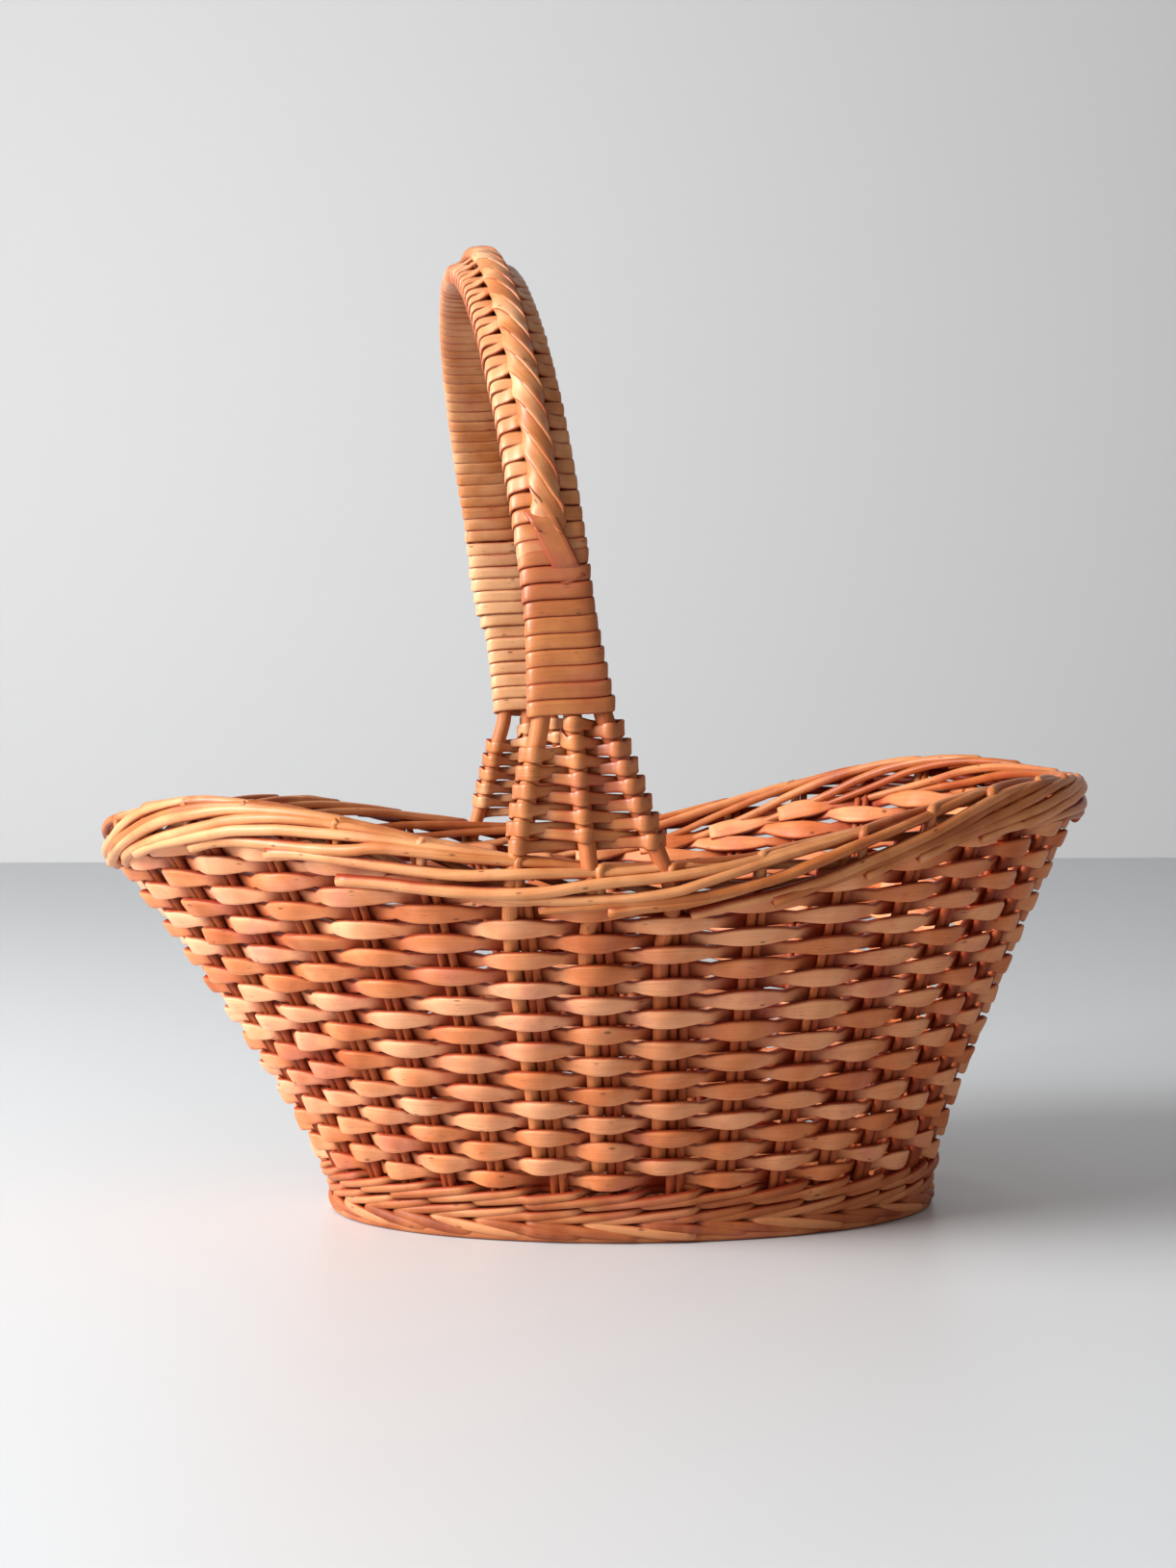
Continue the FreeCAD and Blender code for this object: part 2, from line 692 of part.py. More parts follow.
def build_short_sticks():
    """Short sticks are slit in the middle, and the long sticks pass through the slits."""
    fan_spread = math.sin(math.radians(FAN_ANGLES[-1]))
    slit_reach = (sheet.base_half_width - SLATH_INSET) * fan_spread + SLIT_SPARE
    cuts = []
    for number in range(SHORT_STICKS):
        x_place = sheet.base_centre_x + (number - (SHORT_STICKS - 1) / 2) * sheet.stick_gap_short
        stick = doc.addObject("Part::Cylinder", f"short_stick_{number + 1}")
        stick.setExpression("Radius", "sizes.stick_dia / 2")
        stick.Height = 2 * inner_half_width(x_place)
        stick.Placement = FreeCAD.Placement(
            Vector(x_place, inner_half_width(x_place), sheet.stick_height),
            FreeCAD.Rotation(Vector(1, 0, 0), 90))
        slit = doc.addObject("Part::Box", f"slit_{number + 1}")
        slit.setExpression("Length", "sizes.stick_dia + 2")
        slit.Width = 2 * slit_reach
        slit.setExpression("Height", "sizes.long_stick_dia + 0.2")
        slit.setExpression("Placement.Base.z", "sizes.stick_height - sizes.long_stick_dia / 2 - 0.1")
        slit.setExpression("Placement.Base.y", f"-{slit_reach}")
        slit.setExpression("Placement.Base.x", f"{x_place} - sizes.stick_dia / 2 - 1")
        cut = doc.addObject("Part::Cut", f"slit_stick_{number + 1}")
        cut.Base = stick
        cut.Tool = slit
        cuts.append(cut)
    group = doc.addObject("Part::Compound", "base_sticks_short")
    group.Label = "base_sticks_short"
    group.Links = cuts
    nodes["base_sticks_short"] = group


def base_ring(inset, angle):
    """A place on the oval that lies this far inside the stakes' oval."""
    return Vector(sheet.base_centre_x + (sheet.base_half_length - inset) * math.cos(angle),
                  (sheet.base_half_width - inset) * math.sin(angle), sheet.stick_height)


def build_long_sticks():
    """The long sticks run side by side through the slits and fan out at both ends."""
    radius = sheet.long_stick_dia / 2
    sticks = []
    for degrees in FAN_ANGLES:
        angle = math.radians(degrees)
        path = [base_ring(EDGE_INSET, math.pi - angle), base_ring(SLATH_INSET, math.pi - angle),
                base_ring(SLATH_INSET, angle), base_ring(EDGE_INSET, angle)]
        sticks.append(rod(path, [UP] * len(path), radius, radius))
    add_piece("base_sticks_long", sticks)


def base_round(number):
    """A rod woven over and under the sticks of the base, once round."""
    first = EDGE_INSET + 2.5 * ROD_GAP + sheet.base_weaver_dia / 2
    inset = first + number * (SLATH_INSET - first) / (sheet.base_rounds - 1)
    half_length = sheet.base_half_length - inset
    crossings = []
    for stick in range(SHORT_STICKS):
        angle = math.acos((stick - (SHORT_STICKS - 1) / 2) * sheet.stick_gap_short / half_length)
        crossings += [angle, 2 * math.pi - angle]
    for degrees in FAN_ANGLES:
        angle = math.radians(degrees)
        crossings += [angle % (2 * math.pi), math.pi - angle]
    crossings.sort()
    path = []
    lift = (sheet.stick_dia + sheet.base_weaver_dia + ROD_GAP) / 2
    for index, angle in enumerate(crossings):
        over = 1 if (index + number) % 2 == 0 else -1
        path.append(base_ring(inset, angle) + UP * (over * lift))
    path.append(almost(path[-1], path[0]))
    radius = sheet.base_weaver_dia / 2
    return rod(path, [UP] * len(path), radius, radius)


def build_base_weave():
    rounds = int(sheet.base_rounds)
    add_piece("base_weave_inner", [base_round(number) for number in range(rounds // 2, rounds)])
    add_piece("base_weave_outer", [base_round(number) for number in range(rounds // 2)])


build_short_sticks()
build_long_sticks()
build_base_weave()
build_foot_border()
build_wales()
build_stakes()
build_full_rows()
build_short_rows()
build_border()
build_handle_rods()
build_handle_wraps()
build_fans()
doc.recompute()

for item in doc.Objects:
    if "Invalid" in item.State or "Error" in item.State:
        raise RuntimeError(f"{item.Label} failed: {item.State}")
for name, piece in nodes.items():
    if piece.Shape.isNull() or not piece.Shape.isValid():
        raise RuntimeError(f"{name} is not a valid shape")
    for solid in piece.Shape.Solids:
        if solid.Volume <= 0:
            raise RuntimeError(f"{name} holds a solid with no volume")

os.makedirs("parts", exist_ok=True)
for name, piece in nodes.items():
    piece.Shape.exportStep(os.path.join("parts", f"{name}.step"))

whole = FreeCAD.BoundBox()
for piece in nodes.values():
    whole.add(piece.Shape.BoundBox)
print(f"{len(nodes)} nodes, box {whole}")
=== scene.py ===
"""Looks of the oval willow market basket: every rod of the CAD frame as a real willow rod."""
import math

import bpy
import numpy as np
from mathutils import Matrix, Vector


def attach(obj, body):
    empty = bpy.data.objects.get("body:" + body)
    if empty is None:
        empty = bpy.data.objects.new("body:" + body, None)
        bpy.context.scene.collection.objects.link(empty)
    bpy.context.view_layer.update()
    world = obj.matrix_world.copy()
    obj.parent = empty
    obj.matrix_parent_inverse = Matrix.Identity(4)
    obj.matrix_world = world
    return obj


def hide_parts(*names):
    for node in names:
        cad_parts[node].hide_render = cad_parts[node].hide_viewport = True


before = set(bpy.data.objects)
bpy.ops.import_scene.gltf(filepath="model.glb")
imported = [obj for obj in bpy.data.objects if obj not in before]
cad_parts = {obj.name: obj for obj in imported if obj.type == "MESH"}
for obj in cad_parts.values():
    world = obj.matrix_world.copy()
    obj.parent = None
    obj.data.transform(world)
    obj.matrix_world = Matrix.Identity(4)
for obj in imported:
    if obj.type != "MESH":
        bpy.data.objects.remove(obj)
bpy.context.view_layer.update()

MM = 0.001
GROUPS = 36
HALF_WAY = GROUPS // 2
FULL_ROWS = 18
HIGHEST_SHORT_ROW = 23
RODS_PER_ROW = 3
ROW_STAGGER = 5
HANDLE_FRONT = (7, 8, 9)
HANDLE_BACK = (28, 27, 26)
HANDLE_GROUPS = HANDLE_FRONT + HANDLE_BACK
QUARTERS = {"left": range(-4, 5), "front": range(5, 14), "right": range(14, 23),
            "back": range(23, 32)}
X_AXIS, Y_AXIS, UP = np.eye(3)

BASE_HALF_LENGTH = 120 * MM
BASE_HALF_WIDTH = 70 * MM
BASE_CENTRE_X = 15 * MM
STAKE_RADIUS = 1.75 * MM
HANDLE_TIP_RADIUS = 2.9 * MM
HANDLE_ROD_RADIUS = 3.5 * MM
FLARE_START = 8.0 * MM
FLARE_POWER = 1.18
FOOT_TOP = 8.0 * MM
WALE_BAND = 7.0 * MM
ROWS_BOTTOM = FOOT_TOP + 2 * WALE_BAND
ROW_PITCH = 6.08 * MM
ROW_PITCH_GAIN = 0.33 * MM
WEAVER_HEIGHT = 5.8 * MM
WEAVER_HALF_DEPTH = 1.35 * MM
WEAVER_HALF_AT_FLOAT = 3.9 * MM
WEAVER_HALF_AT_CROSSING = 2.0 * MM
BORDER_HALF_HEIGHT = 9.4 * MM
BORDER_HALF_DEPTH = 6.9 * MM
BORDER_ROD_RADIUS = 2.15 * MM

# Where each part's random draws start, so that every run makes the same basket.
SEEDS = {"side_rows": 100, "packing_rows": 140, "wales": 200, "foot": 210, "stakes": 300,
         "border": 400, "handle_rods": 500, "wraps": 520, "ridge": 530, "fans": 540, "base": 600}


# ------------------------------------------------------------- the side as a surface

class StakeOval:
    """An oval in plan on which stakes stand.

    crowding brings them closer together at its two ends, shift turns them all round it by a
    part of a gap, and pinch draws a handle group's neighbours nearer to it.
    """

    STEPS = 2880
    PINCH_REACH = 2.2

    def __init__(self, half_length, half_width, centre_x, crowding, shift, pinch):
        self.size = (half_length, half_width)
        self.centre_x = centre_x
        self.crowding = crowding
        self.shift = shift
        self.pinch = pinch
        self.angles = np.linspace(math.pi, 3 * math.pi, self.STEPS + 1)
        points = self.point(self.angles)
        steps = np.linalg.norm(np.diff(points, axis=0), axis=1)
        self.travel = np.concatenate([[0.0], np.cumsum(steps)])
        self.travel /= self.travel[-1]

    def point(self, angle):
        return np.stack([self.centre_x + self.size[0] * np.cos(angle),
                         self.size[1] * np.sin(angle), 0 * angle], axis=-1)

    def angle(self, stake):
        """The oval's angle at a stake number, from the left end round by the front."""
        stake = np.asarray(stake, float)
        for groups in (HANDLE_FRONT, HANDLE_BACK):
            away = (stake - groups[1] + HALF_WAY) % GROUPS - HALF_WAY
            stake = stake - self.pinch * away * np.exp(-(away / self.PINCH_REACH) ** 2)
        turn = (stake + 0.5 + self.shift) / GROUPS
        turn = turn - self.crowding * np.sin(4 * math.pi * turn) / (4 * math.pi)
        whole = np.floor(turn)
        return np.interp(turn - whole, self.travel, self.angles) + 2 * math.pi * whole

    def at(self, stake):
        return self.point(self.angle(stake))


rim_oval = StakeOval(half_length=196 * MM, half_width=142 * MM, centre_x=0.0, crowding=0.12,
                     shift=0.15, pinch=0.17)
base_oval = StakeOval(half_length=BASE_HALF_LENGTH, half_width=BASE_HALF_WIDTH,
                      centre_x=BASE_CENTRE_X, crowding=0.3, shift=-0.17, pinch=0.0)


def rim_height(stake):
    """Height of the border's middle line: high at both ends, and low beside the handle."""
    angle = rim_oval.angle(stake)
    return MM * (158 + 8.1 * np.cos(angle) + 9.2 * np.cos(2 * angle) + 2.9 * np.sin(2 * angle)
                 + 1.6 * np.cos(3 * angle) - 7.0 * np.cos(4 * angle))


def side_point(stake, height):
    """A place on the side, which flares from the base oval out to the rim oval."""
    rise = (height - FLARE_START) / (rim_height(stake) - FLARE_START)
    flare = (np.maximum(rise, 0.0) ** FLARE_POWER)[..., None]
    point = base_oval.at(stake) * (1 - flare) + rim_oval.at(stake) * flare
    point[..., 2] = height
    return point


def unit(vectors):
    return vectors / np.maximum(np.linalg.norm(vectors, axis=-1, keepdims=True), 1e-12)


def side_frame(stake, height):
    """Points on the side with unit directions along the row, up the side and outwards."""
    stake = np.asarray(stake, float)
    height = np.asarray(height, float) + 0 * stake
    nudge = 0.02
    along = unit(side_point(stake + nudge, height) - side_point(stake - nudge, height))
    climb = side_point(stake, height + MM) - side_point(stake, height - MM)
    outward = unit(np.cross(along, climb))
    return side_point(stake, height), along, np.cross(outward, along), outward


def group_depth(group):
    """Half the thickness of a stake group through the side."""
    return np.where(np.isin(np.asarray(group) % GROUPS, HANDLE_GROUPS),
                    HANDLE_TIP_RADIUS * 0.9, STAKE_RADIUS)


# ------------------------------------------------------------------ rods as meshes

END_BULGE = 0.35
# Painted shade on the tip of each rod's end cap.
END_SHADE = 0.9
LIT_SPREAD = 1.6
EDGE_SHARPNESS = 3
# Each rod gets its own stretch and layer of the grain, so that no two rods look alike.
GRAIN_SHIFT = 40
GRAIN_LAYER = 7.0


class Rods:
    """Collects rods of willow, and makes one mesh object of them."""

    def __init__(self, name, slot, seed):
        self.name = name
        self.slot = slot
        self.random = np.random.RandomState(seed)
        self.points = []
        self.faces = []
        self.grain = []
        self.tint = []
        self.stain = []
        self.count = 0

    def add(self, path, ups, half_heights, half_depths, stain=0.0, lit=0.0, edge_stain=0.0,
            sides=10, squareness=1.0, roll=None):
        """A rod along a path. ups says where each section's height points.

        Its shade values are painted shade: the middle value darkens crevices, lit is how much
        less painted shade the outward face has than the middle (painted light), the edge value is
        painted shade added along the section's top and bottom where it meets its neighbours, and
        a squareness under 1 makes the section less round and more square.
        """
        path = np.asarray(path, float)
        rings = len(path)
        tangent = np.empty_like(path)
        tangent[1:-1] = unit(path[2:] - path[1:-1]) + unit(path[1:-1] - path[:-2])
        tangent[0] = path[1] - path[0]
        tangent[-1] = path[-1] - path[-2]
        tangent = unit(tangent)
        side = unit(np.cross(tangent, np.broadcast_to(ups, path.shape)))
        height = np.cross(side, tangent)
        if roll is not None:
            cosine, sine = np.cos(roll)[:, None], np.sin(roll)[:, None]
            side, height = side * cosine + height * sine, height * cosine - side * sine
        steps = np.linalg.norm(np.diff(path, axis=0), axis=1)
        travel = np.concatenate([[0.0], np.cumsum(steps)])
        half_heights = np.broadcast_to(half_heights, rings).astype(float).copy()
        half_depths = np.broadcast_to(half_depths, rings).astype(float).copy()
        stain = np.broadcast_to(stain, rings)[:, None]
        lit = np.broadcast_to(lit, rings)[:, None]
        tint = self.random.uniform()
        angle = 2 * math.pi * (np.arange(sides) + 0.5) / sides
        cosine, sine = np.cos(angle), np.sin(angle)
        cosine = np.sign(cosine) * np.abs(cosine) ** squareness
        sine = np.sign(sine) * np.abs(sine) ** squareness
        offset = (side[:, None] * (cosine * half_depths[:, None])[..., None]
                  + height[:, None] * (sine * half_heights[:, None])[..., None])
        points = path[:, None] + offset
        base = self.count
        self.points.append(points.reshape(-1, 3))
        shift = self.random.uniform(0, GRAIN_SHIFT)
        around = angle * (half_heights.mean() + half_depths.mean()) / 2
        grain = np.empty((rings, sides, 3))
        grain[..., 0] = travel[:, None] + shift
        grain[..., 1] = around[None, :]
        grain[..., 2] = tint * GRAIN_LAYER
        self.grain.append(grain.reshape(-1, 3))
        self.tint.append(np.full(rings * sides, tint))
        # Painted shade at each corner: darker in crevices, lighter on the face that lit turns
        # out, darker along the section's top and bottom edges.
        facing = np.clip(LIT_SPREAD * np.cos(angle), -1, 1)
        edge = np.abs(np.sin(angle)) ** EDGE_SHARPNESS
        self.stain.append((stain - lit * facing + edge_stain * edge).reshape(-1))
        ring = np.arange(rings - 1)[:, None] * sides
        corner = np.arange(sides)[None, :]
        following = (corner + 1) % sides
        quads = np.stack([base + ring + corner, base + ring + following,
                          base + ring + sides + following, base + ring + sides + corner], axis=-1)
        self.faces.extend(quads.reshape(-1, 4).tolist())
        self.count += rings * sides
        for index, sign in ((0, -1), (rings - 1, 1)):
            bulge = END_BULGE * min(half_depths[index], half_heights[index])
            tip = path[index] + sign * tangent[index] * bulge
            self.points.append(tip[None])
            self.grain.append(np.array([[travel[index] + shift, 0.0, tint * GRAIN_LAYER]]))
            self.tint.append(np.array([tint]))
            self.stain.append(np.array([END_SHADE]))
            first = base + index * sides
            for corner_index in range(sides):
                next_corner = (corner_index + 1) % sides
                trio = (first + corner_index, self.count, first + next_corner)
                self.faces.append(list(trio if sign < 0 else trio[::-1]))
            self.count += 1

    def build(self):
        """The mesh object of all rods so far, in place of the frame's node of that name."""
        mesh = bpy.data.meshes.new(self.name)
        points = np.concatenate(self.points)
        sizes = np.array([len(face) for face in self.faces])
        corners = np.concatenate([np.array(face) for face in self.faces])
        mesh.vertices.add(len(points))
        mesh.vertices.foreach_set("co", points.reshape(-1))
        mesh.loops.add(len(corners))
        mesh.loops.foreach_set("vertex_index", corners.astype(np.int32))
        mesh.polygons.add(len(sizes))
        starts = np.concatenate([[0], np.cumsum(sizes)[:-1]]).astype(np.int32)
        mesh.polygons.foreach_set("loop_start", starts)
        mesh.polygons.foreach_set("use_smooth", np.ones(len(sizes), bool))
        mesh.update(calc_edges=True)
        mesh.validate()
        attribute = mesh.attributes.new("grain", "FLOAT_VECTOR", "POINT")
        attribute.data.foreach_set("vector", np.concatenate(self.grain).reshape(-1))
        # The painted shade goes to the mesh as a point attribute, read by the willow material.
        for label, values in (("tint", self.tint), ("stain", self.stain)):
            attribute = mesh.attributes.new(label, "FLOAT", "POINT")
            attribute.data.foreach_set("value", np.clip(np.concatenate(values), 0, 1))
        mesh.materials.append(WILLOWS[self.slot])
        piece = bpy.data.objects.new(self.name, mesh)
        bpy.context.scene.collection.objects.link(piece)
        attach(piece, "root")
        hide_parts(self.name.replace("willow_", ""))


def wander(random, count, step, amount):
    """A slow random drift of about the given amount, one value a step's worth of samples."""
    knots = max(int(count / step) + 2, 3)
    values = random.normal(0, amount, knots)
    return np.interp(np.linspace(0, knots - 1, count), np.arange(knots), values)


# -------------------------------------------------------------------- materials

def node(tree, kind, place, **values):
    made = tree.nodes.new(kind)
    made.location = place
    for key, value in values.items():
        setattr(made, key, value)
    return made


def ramp(tree, place, factor, stops):
    made = node(tree, "ShaderNodeValToRGB", place)
    tree.links.new(factor, made.inputs[0])
    while len(made.color_ramp.elements) < len(stops):
        made.color_ramp.elements.new(0.5)
    for element, (position, colour) in zip(made.color_ramp.elements, stops):
        element.position = position
        element.color = (*colour, 1.0)
    return made.outputs[0]


def mix(tree, place, factor, first, second, blend="MIX"):
    made = node(tree, "ShaderNodeMix", place, data_type="RGBA", blend_type=blend)
    for number, value in ((0, factor), (6, first), (7, second)):
        socket = made.inputs[number]
        if isinstance(value, bpy.types.NodeSocket):
            tree.links.new(value, socket)
        elif isinstance(value, tuple):
            socket.default_value = (*value, 1.0)
        else:
            socket.default_value = value
    return made.outputs[2]


def noise(tree, place, vector, scale, detail, roughness=0.5):
    made = node(tree, "ShaderNodeTexNoise", place)
    tree.links.new(vector, made.inputs["Vector"])
    made.inputs["Scale"].default_value = scale
    made.inputs["Detail"].default_value = detail
    made.inputs["Roughness"].default_value = roughness
    return made.outputs["Fac"]


def stretched(tree, place, vector, scale):
    made = node(tree, "ShaderNodeMapping", place)
    tree.links.new(vector, made.inputs["Vector"])
    made.inputs["Scale"].default_value = scale
    return made.outputs[0]


def scaled_sum(tree, place, first, factor, second):
    """The first value times a factor, plus the second value."""
    made = node(tree, "ShaderNodeMath", place, operation="MULTIPLY_ADD")
    tree.links.new(first, made.inputs[0])
    made.inputs[1].default_value = factor
    tree.links.new(second, made.inputs[2])
    return made.outputs[0]


def map_range(tree, place, value, **limits):
    made = node(tree, "ShaderNodeMapRange", place)
    tree.links.new(value, made.inputs["Value"])
    for key, limit in limits.items():
        made.inputs[key.replace("_", " ").title()].default_value = limit
    return made.outputs[0]


def grey(level):
    return (level, level, level)


FIBRE_STRETCH = (35.0, 1500.0, 1.0)
SPECK_STRETCH = (90.0, 260.0, 1.0)
PINK = (0.62, 0.2, 0.16)
# The dark red of the painted shade in crevices and behind the rods.
PAINTED_SHADE_RED = (0.30, 0.038, 0.012)
SPECK = (0.10, 0.035, 0.02)
# Painted shade along the basket: the ramp's half length, and the tints at its lit left end and
# shaded right end.
SHADE_RAMP_HALF_LENGTH = 0.2
LIT_LEFT_TINT = (1.0, 1.0, 1.0)
SHADED_RIGHT_TINT = (0.90, 0.72, 0.56)


def willow(name, pale, mid, deep, pink=0.35, rough=0.5, coat=0.0):
    """Peeled willow: fine grain along the rod, blotches and specks, with painted dark red shade
    in crevices and painted shade towards the basket's right end.
    """
    material = bpy.data.materials.new(name)
    material.use_nodes = True
    tree = material.node_tree
    link = tree.links.new
    shader = tree.nodes["Principled BSDF"]
    grain, tint, stain = (node(tree, "ShaderNodeAttribute", (-1400, height), attribute_name=label)
                          for label, height in (("grain", 200), ("tint", 0), ("stain", -200)))
    place = node(tree, "ShaderNodeTexCoord", (-1400, -400)).outputs["Object"]

    along_rod = stretched(tree, (-1200, 200), grain.outputs["Vector"], FIBRE_STRETCH)
    fibre = noise(tree, (-1000, 200), along_rod, 1.0, 5.0)
    blotch = noise(tree, (-1000, -100), place, 55.0, 4.0)
    tone = scaled_sum(tree, (-800, 100), tint.outputs["Fac"], 0.55, blotch)
    body = ramp(tree, (-600, 100), tone, ((0.3, deep), (0.62, mid), (1.0, pale)))
    streak = ramp(tree, (-600, 350), fibre, ((0.35, grey(0.62)), (0.6, grey(1.0))))
    colour = mix(tree, (-380, 200), 0.5, body, streak, "MULTIPLY")

    pinks = noise(tree, (-1000, -400), place, 38.0, 6.0, 0.65)
    patch = ramp(tree, (-780, -400), pinks, ((0.52, grey(0.0)), (0.68, grey(pink))))
    colour = mix(tree, (-180, 100), patch, colour, PINK)

    # Painted shade: the rods' shade attribute, broken up by the pink patches' noise, turns the
    # colour dark red.
    patchy_shade = scaled_sum(tree, (-780, -650), pinks, 0.7, stain.outputs["Fac"])
    painted_shade_mask = ramp(tree, (-580, -650), patchy_shade, ((0.55, grey(0.0)), (1.0, grey(1.0))))
    colour = mix(tree, (0, 0), painted_shade_mask, colour, PAINTED_SHADE_RED)

    dots = node(tree, "ShaderNodeTexVoronoi", (-1000, -900))
    link(stretched(tree, (-1200, -900), grain.outputs["Vector"], SPECK_STRETCH),
         dots.inputs["Vector"])
    dots.inputs["Scale"].default_value = 1.0
    speck = ramp(tree, (-780, -900), dots.outputs["Distance"],
                 ((0.06, grey(0.75)), (0.14, grey(0.0))))
    colour = mix(tree, (200, 0), speck, colour, SPECK)

    # The willow is painted darker and browner towards the basket's right end: painted shade for
    # the side away from the window light.
    spot = node(tree, "ShaderNodeSeparateXYZ", (-1200, -1200))
    link(place, spot.inputs[0])
    share = map_range(tree, (-1000, -1200), spot.outputs["X"], from_min=-SHADE_RAMP_HALF_LENGTH,
                      from_max=SHADE_RAMP_HALF_LENGTH)
    right_end_shade = ramp(tree, (-780, -1200), share, ((0.0, LIT_LEFT_TINT), (1.0, SHADED_RIGHT_TINT)))
    colour = mix(tree, (400, 0), 1.0, colour, right_end_shade, "MULTIPLY")
    link(colour, shader.inputs["Base Color"])

    gloss = map_range(tree, (200, -250), fibre, to_min=rough - 0.1, to_max=rough + 0.15)
    link(gloss, shader.inputs["Roughness"])
    shader.inputs["Coat Weight"].default_value = coat
    shader.inputs["Coat Roughness"].default_value = 0.35
    shader.inputs["Specular IOR Level"].default_value = 0.22
    bump = node(tree, "ShaderNodeBump", (200, -500))
    bump.inputs["Strength"].default_value = 0.35
    bump.inputs["Distance"].default_value = 0.0004
    link(fibre, bump.inputs["Height"])
    link(bump.outputs[0], shader.inputs["Normal"])
    return material


# The pale, middle and deep colour of each slot's willow, and its finish.
WILLOWS = {slot: willow(slot, *colours, **finish) for slot, colours, finish in (
    ("weaver_willow", ((0.90, 0.44, 0.24), (0.71, 0.245, 0.092), (0.50, 0.12, 0.036)),
     {"pink": 0.55, "rough": 0.42}),
    ("stake_willow", ((0.52, 0.16, 0.05), (0.38, 0.09, 0.024), (0.22, 0.04, 0.010)),
     {"pink": 0.2, "rough": 0.46}),
    ("border_willow", ((0.76, 0.36, 0.16), (0.54, 0.185, 0.052), (0.35, 0.088, 0.022)),
     {"pink": 0.25, "rough": 0.40, "coat": 0.2}),
    ("wale_willow", ((0.66, 0.30, 0.135), (0.46, 0.145, 0.05), (0.25, 0.05, 0.016)),
     {"pink": 0.35, "rough": 0.46}),
    ("skein_willow", ((0.82, 0.47, 0.25), (0.56, 0.21, 0.068), (0.39, 0.11, 0.032)),
     {"pink": 0.22, "rough": 0.34, "coat": 0.35}),
    ("handle_willow", ((0.60, 0.22, 0.08), (0.46, 0.13, 0.042), (0.30, 0.075, 0.022)),
     {"pink": 0.25, "rough": 0.42}),
    ("base_willow", ((0.66, 0.30, 0.13), (0.54, 0.20, 0.075), (0.40, 0.12, 0.04)),
     {"pink": 0.3, "rough": 0.5}))}


# -------------------------------------------------------------------- side weaving

SAMPLES_PER_GAP = 12
TUCKED_GAPS = 0.28
TUCK_DEPTH = 1.3 * WEAVER_HALF_DEPTH
ROW_UNEVENNESS = 0.4 * MM
HIGHEST_UNDER_BORDER = 0.55 * BORDER_HALF_HEIGHT
CLOSEST_UNDER_BORDER = BORDER_HALF_HEIGHT + 0.15 * WEAVER_HEIGHT
FLOAT_CLEARANCE = 1.12
KINK_RANGE = (-0.13, 0.02)
# Painted shade on the weavers, and how much of it painted light takes off a float's outward face.
WEAVER_SHADE = 0.26
FLOAT_LIT = 0.38
# How crisp a float's knees are, from 0 to 1: more so towards the left end.
CRISP_MEAN = 0.62
CRISP_SWING = 0.38
CRISP_SCATTER = 0.25
SHORTEST_RUN = 3


def row_height(group, row):
    """Height of a row at a stake group: the rows lie nearly level under the border."""
    pitch = ROW_PITCH + ROW_PITCH_GAIN * np.cos(rim_oval.angle(group))
    return ROWS_BOTTOM + (row + 0.5) * pitch


def row_fits(group, row):
    return row_height(group, row) <= rim_height(group) - CLOSEST_UNDER_BORDER


def is_outside(group, row):
    return (group + row) % 2 == 0


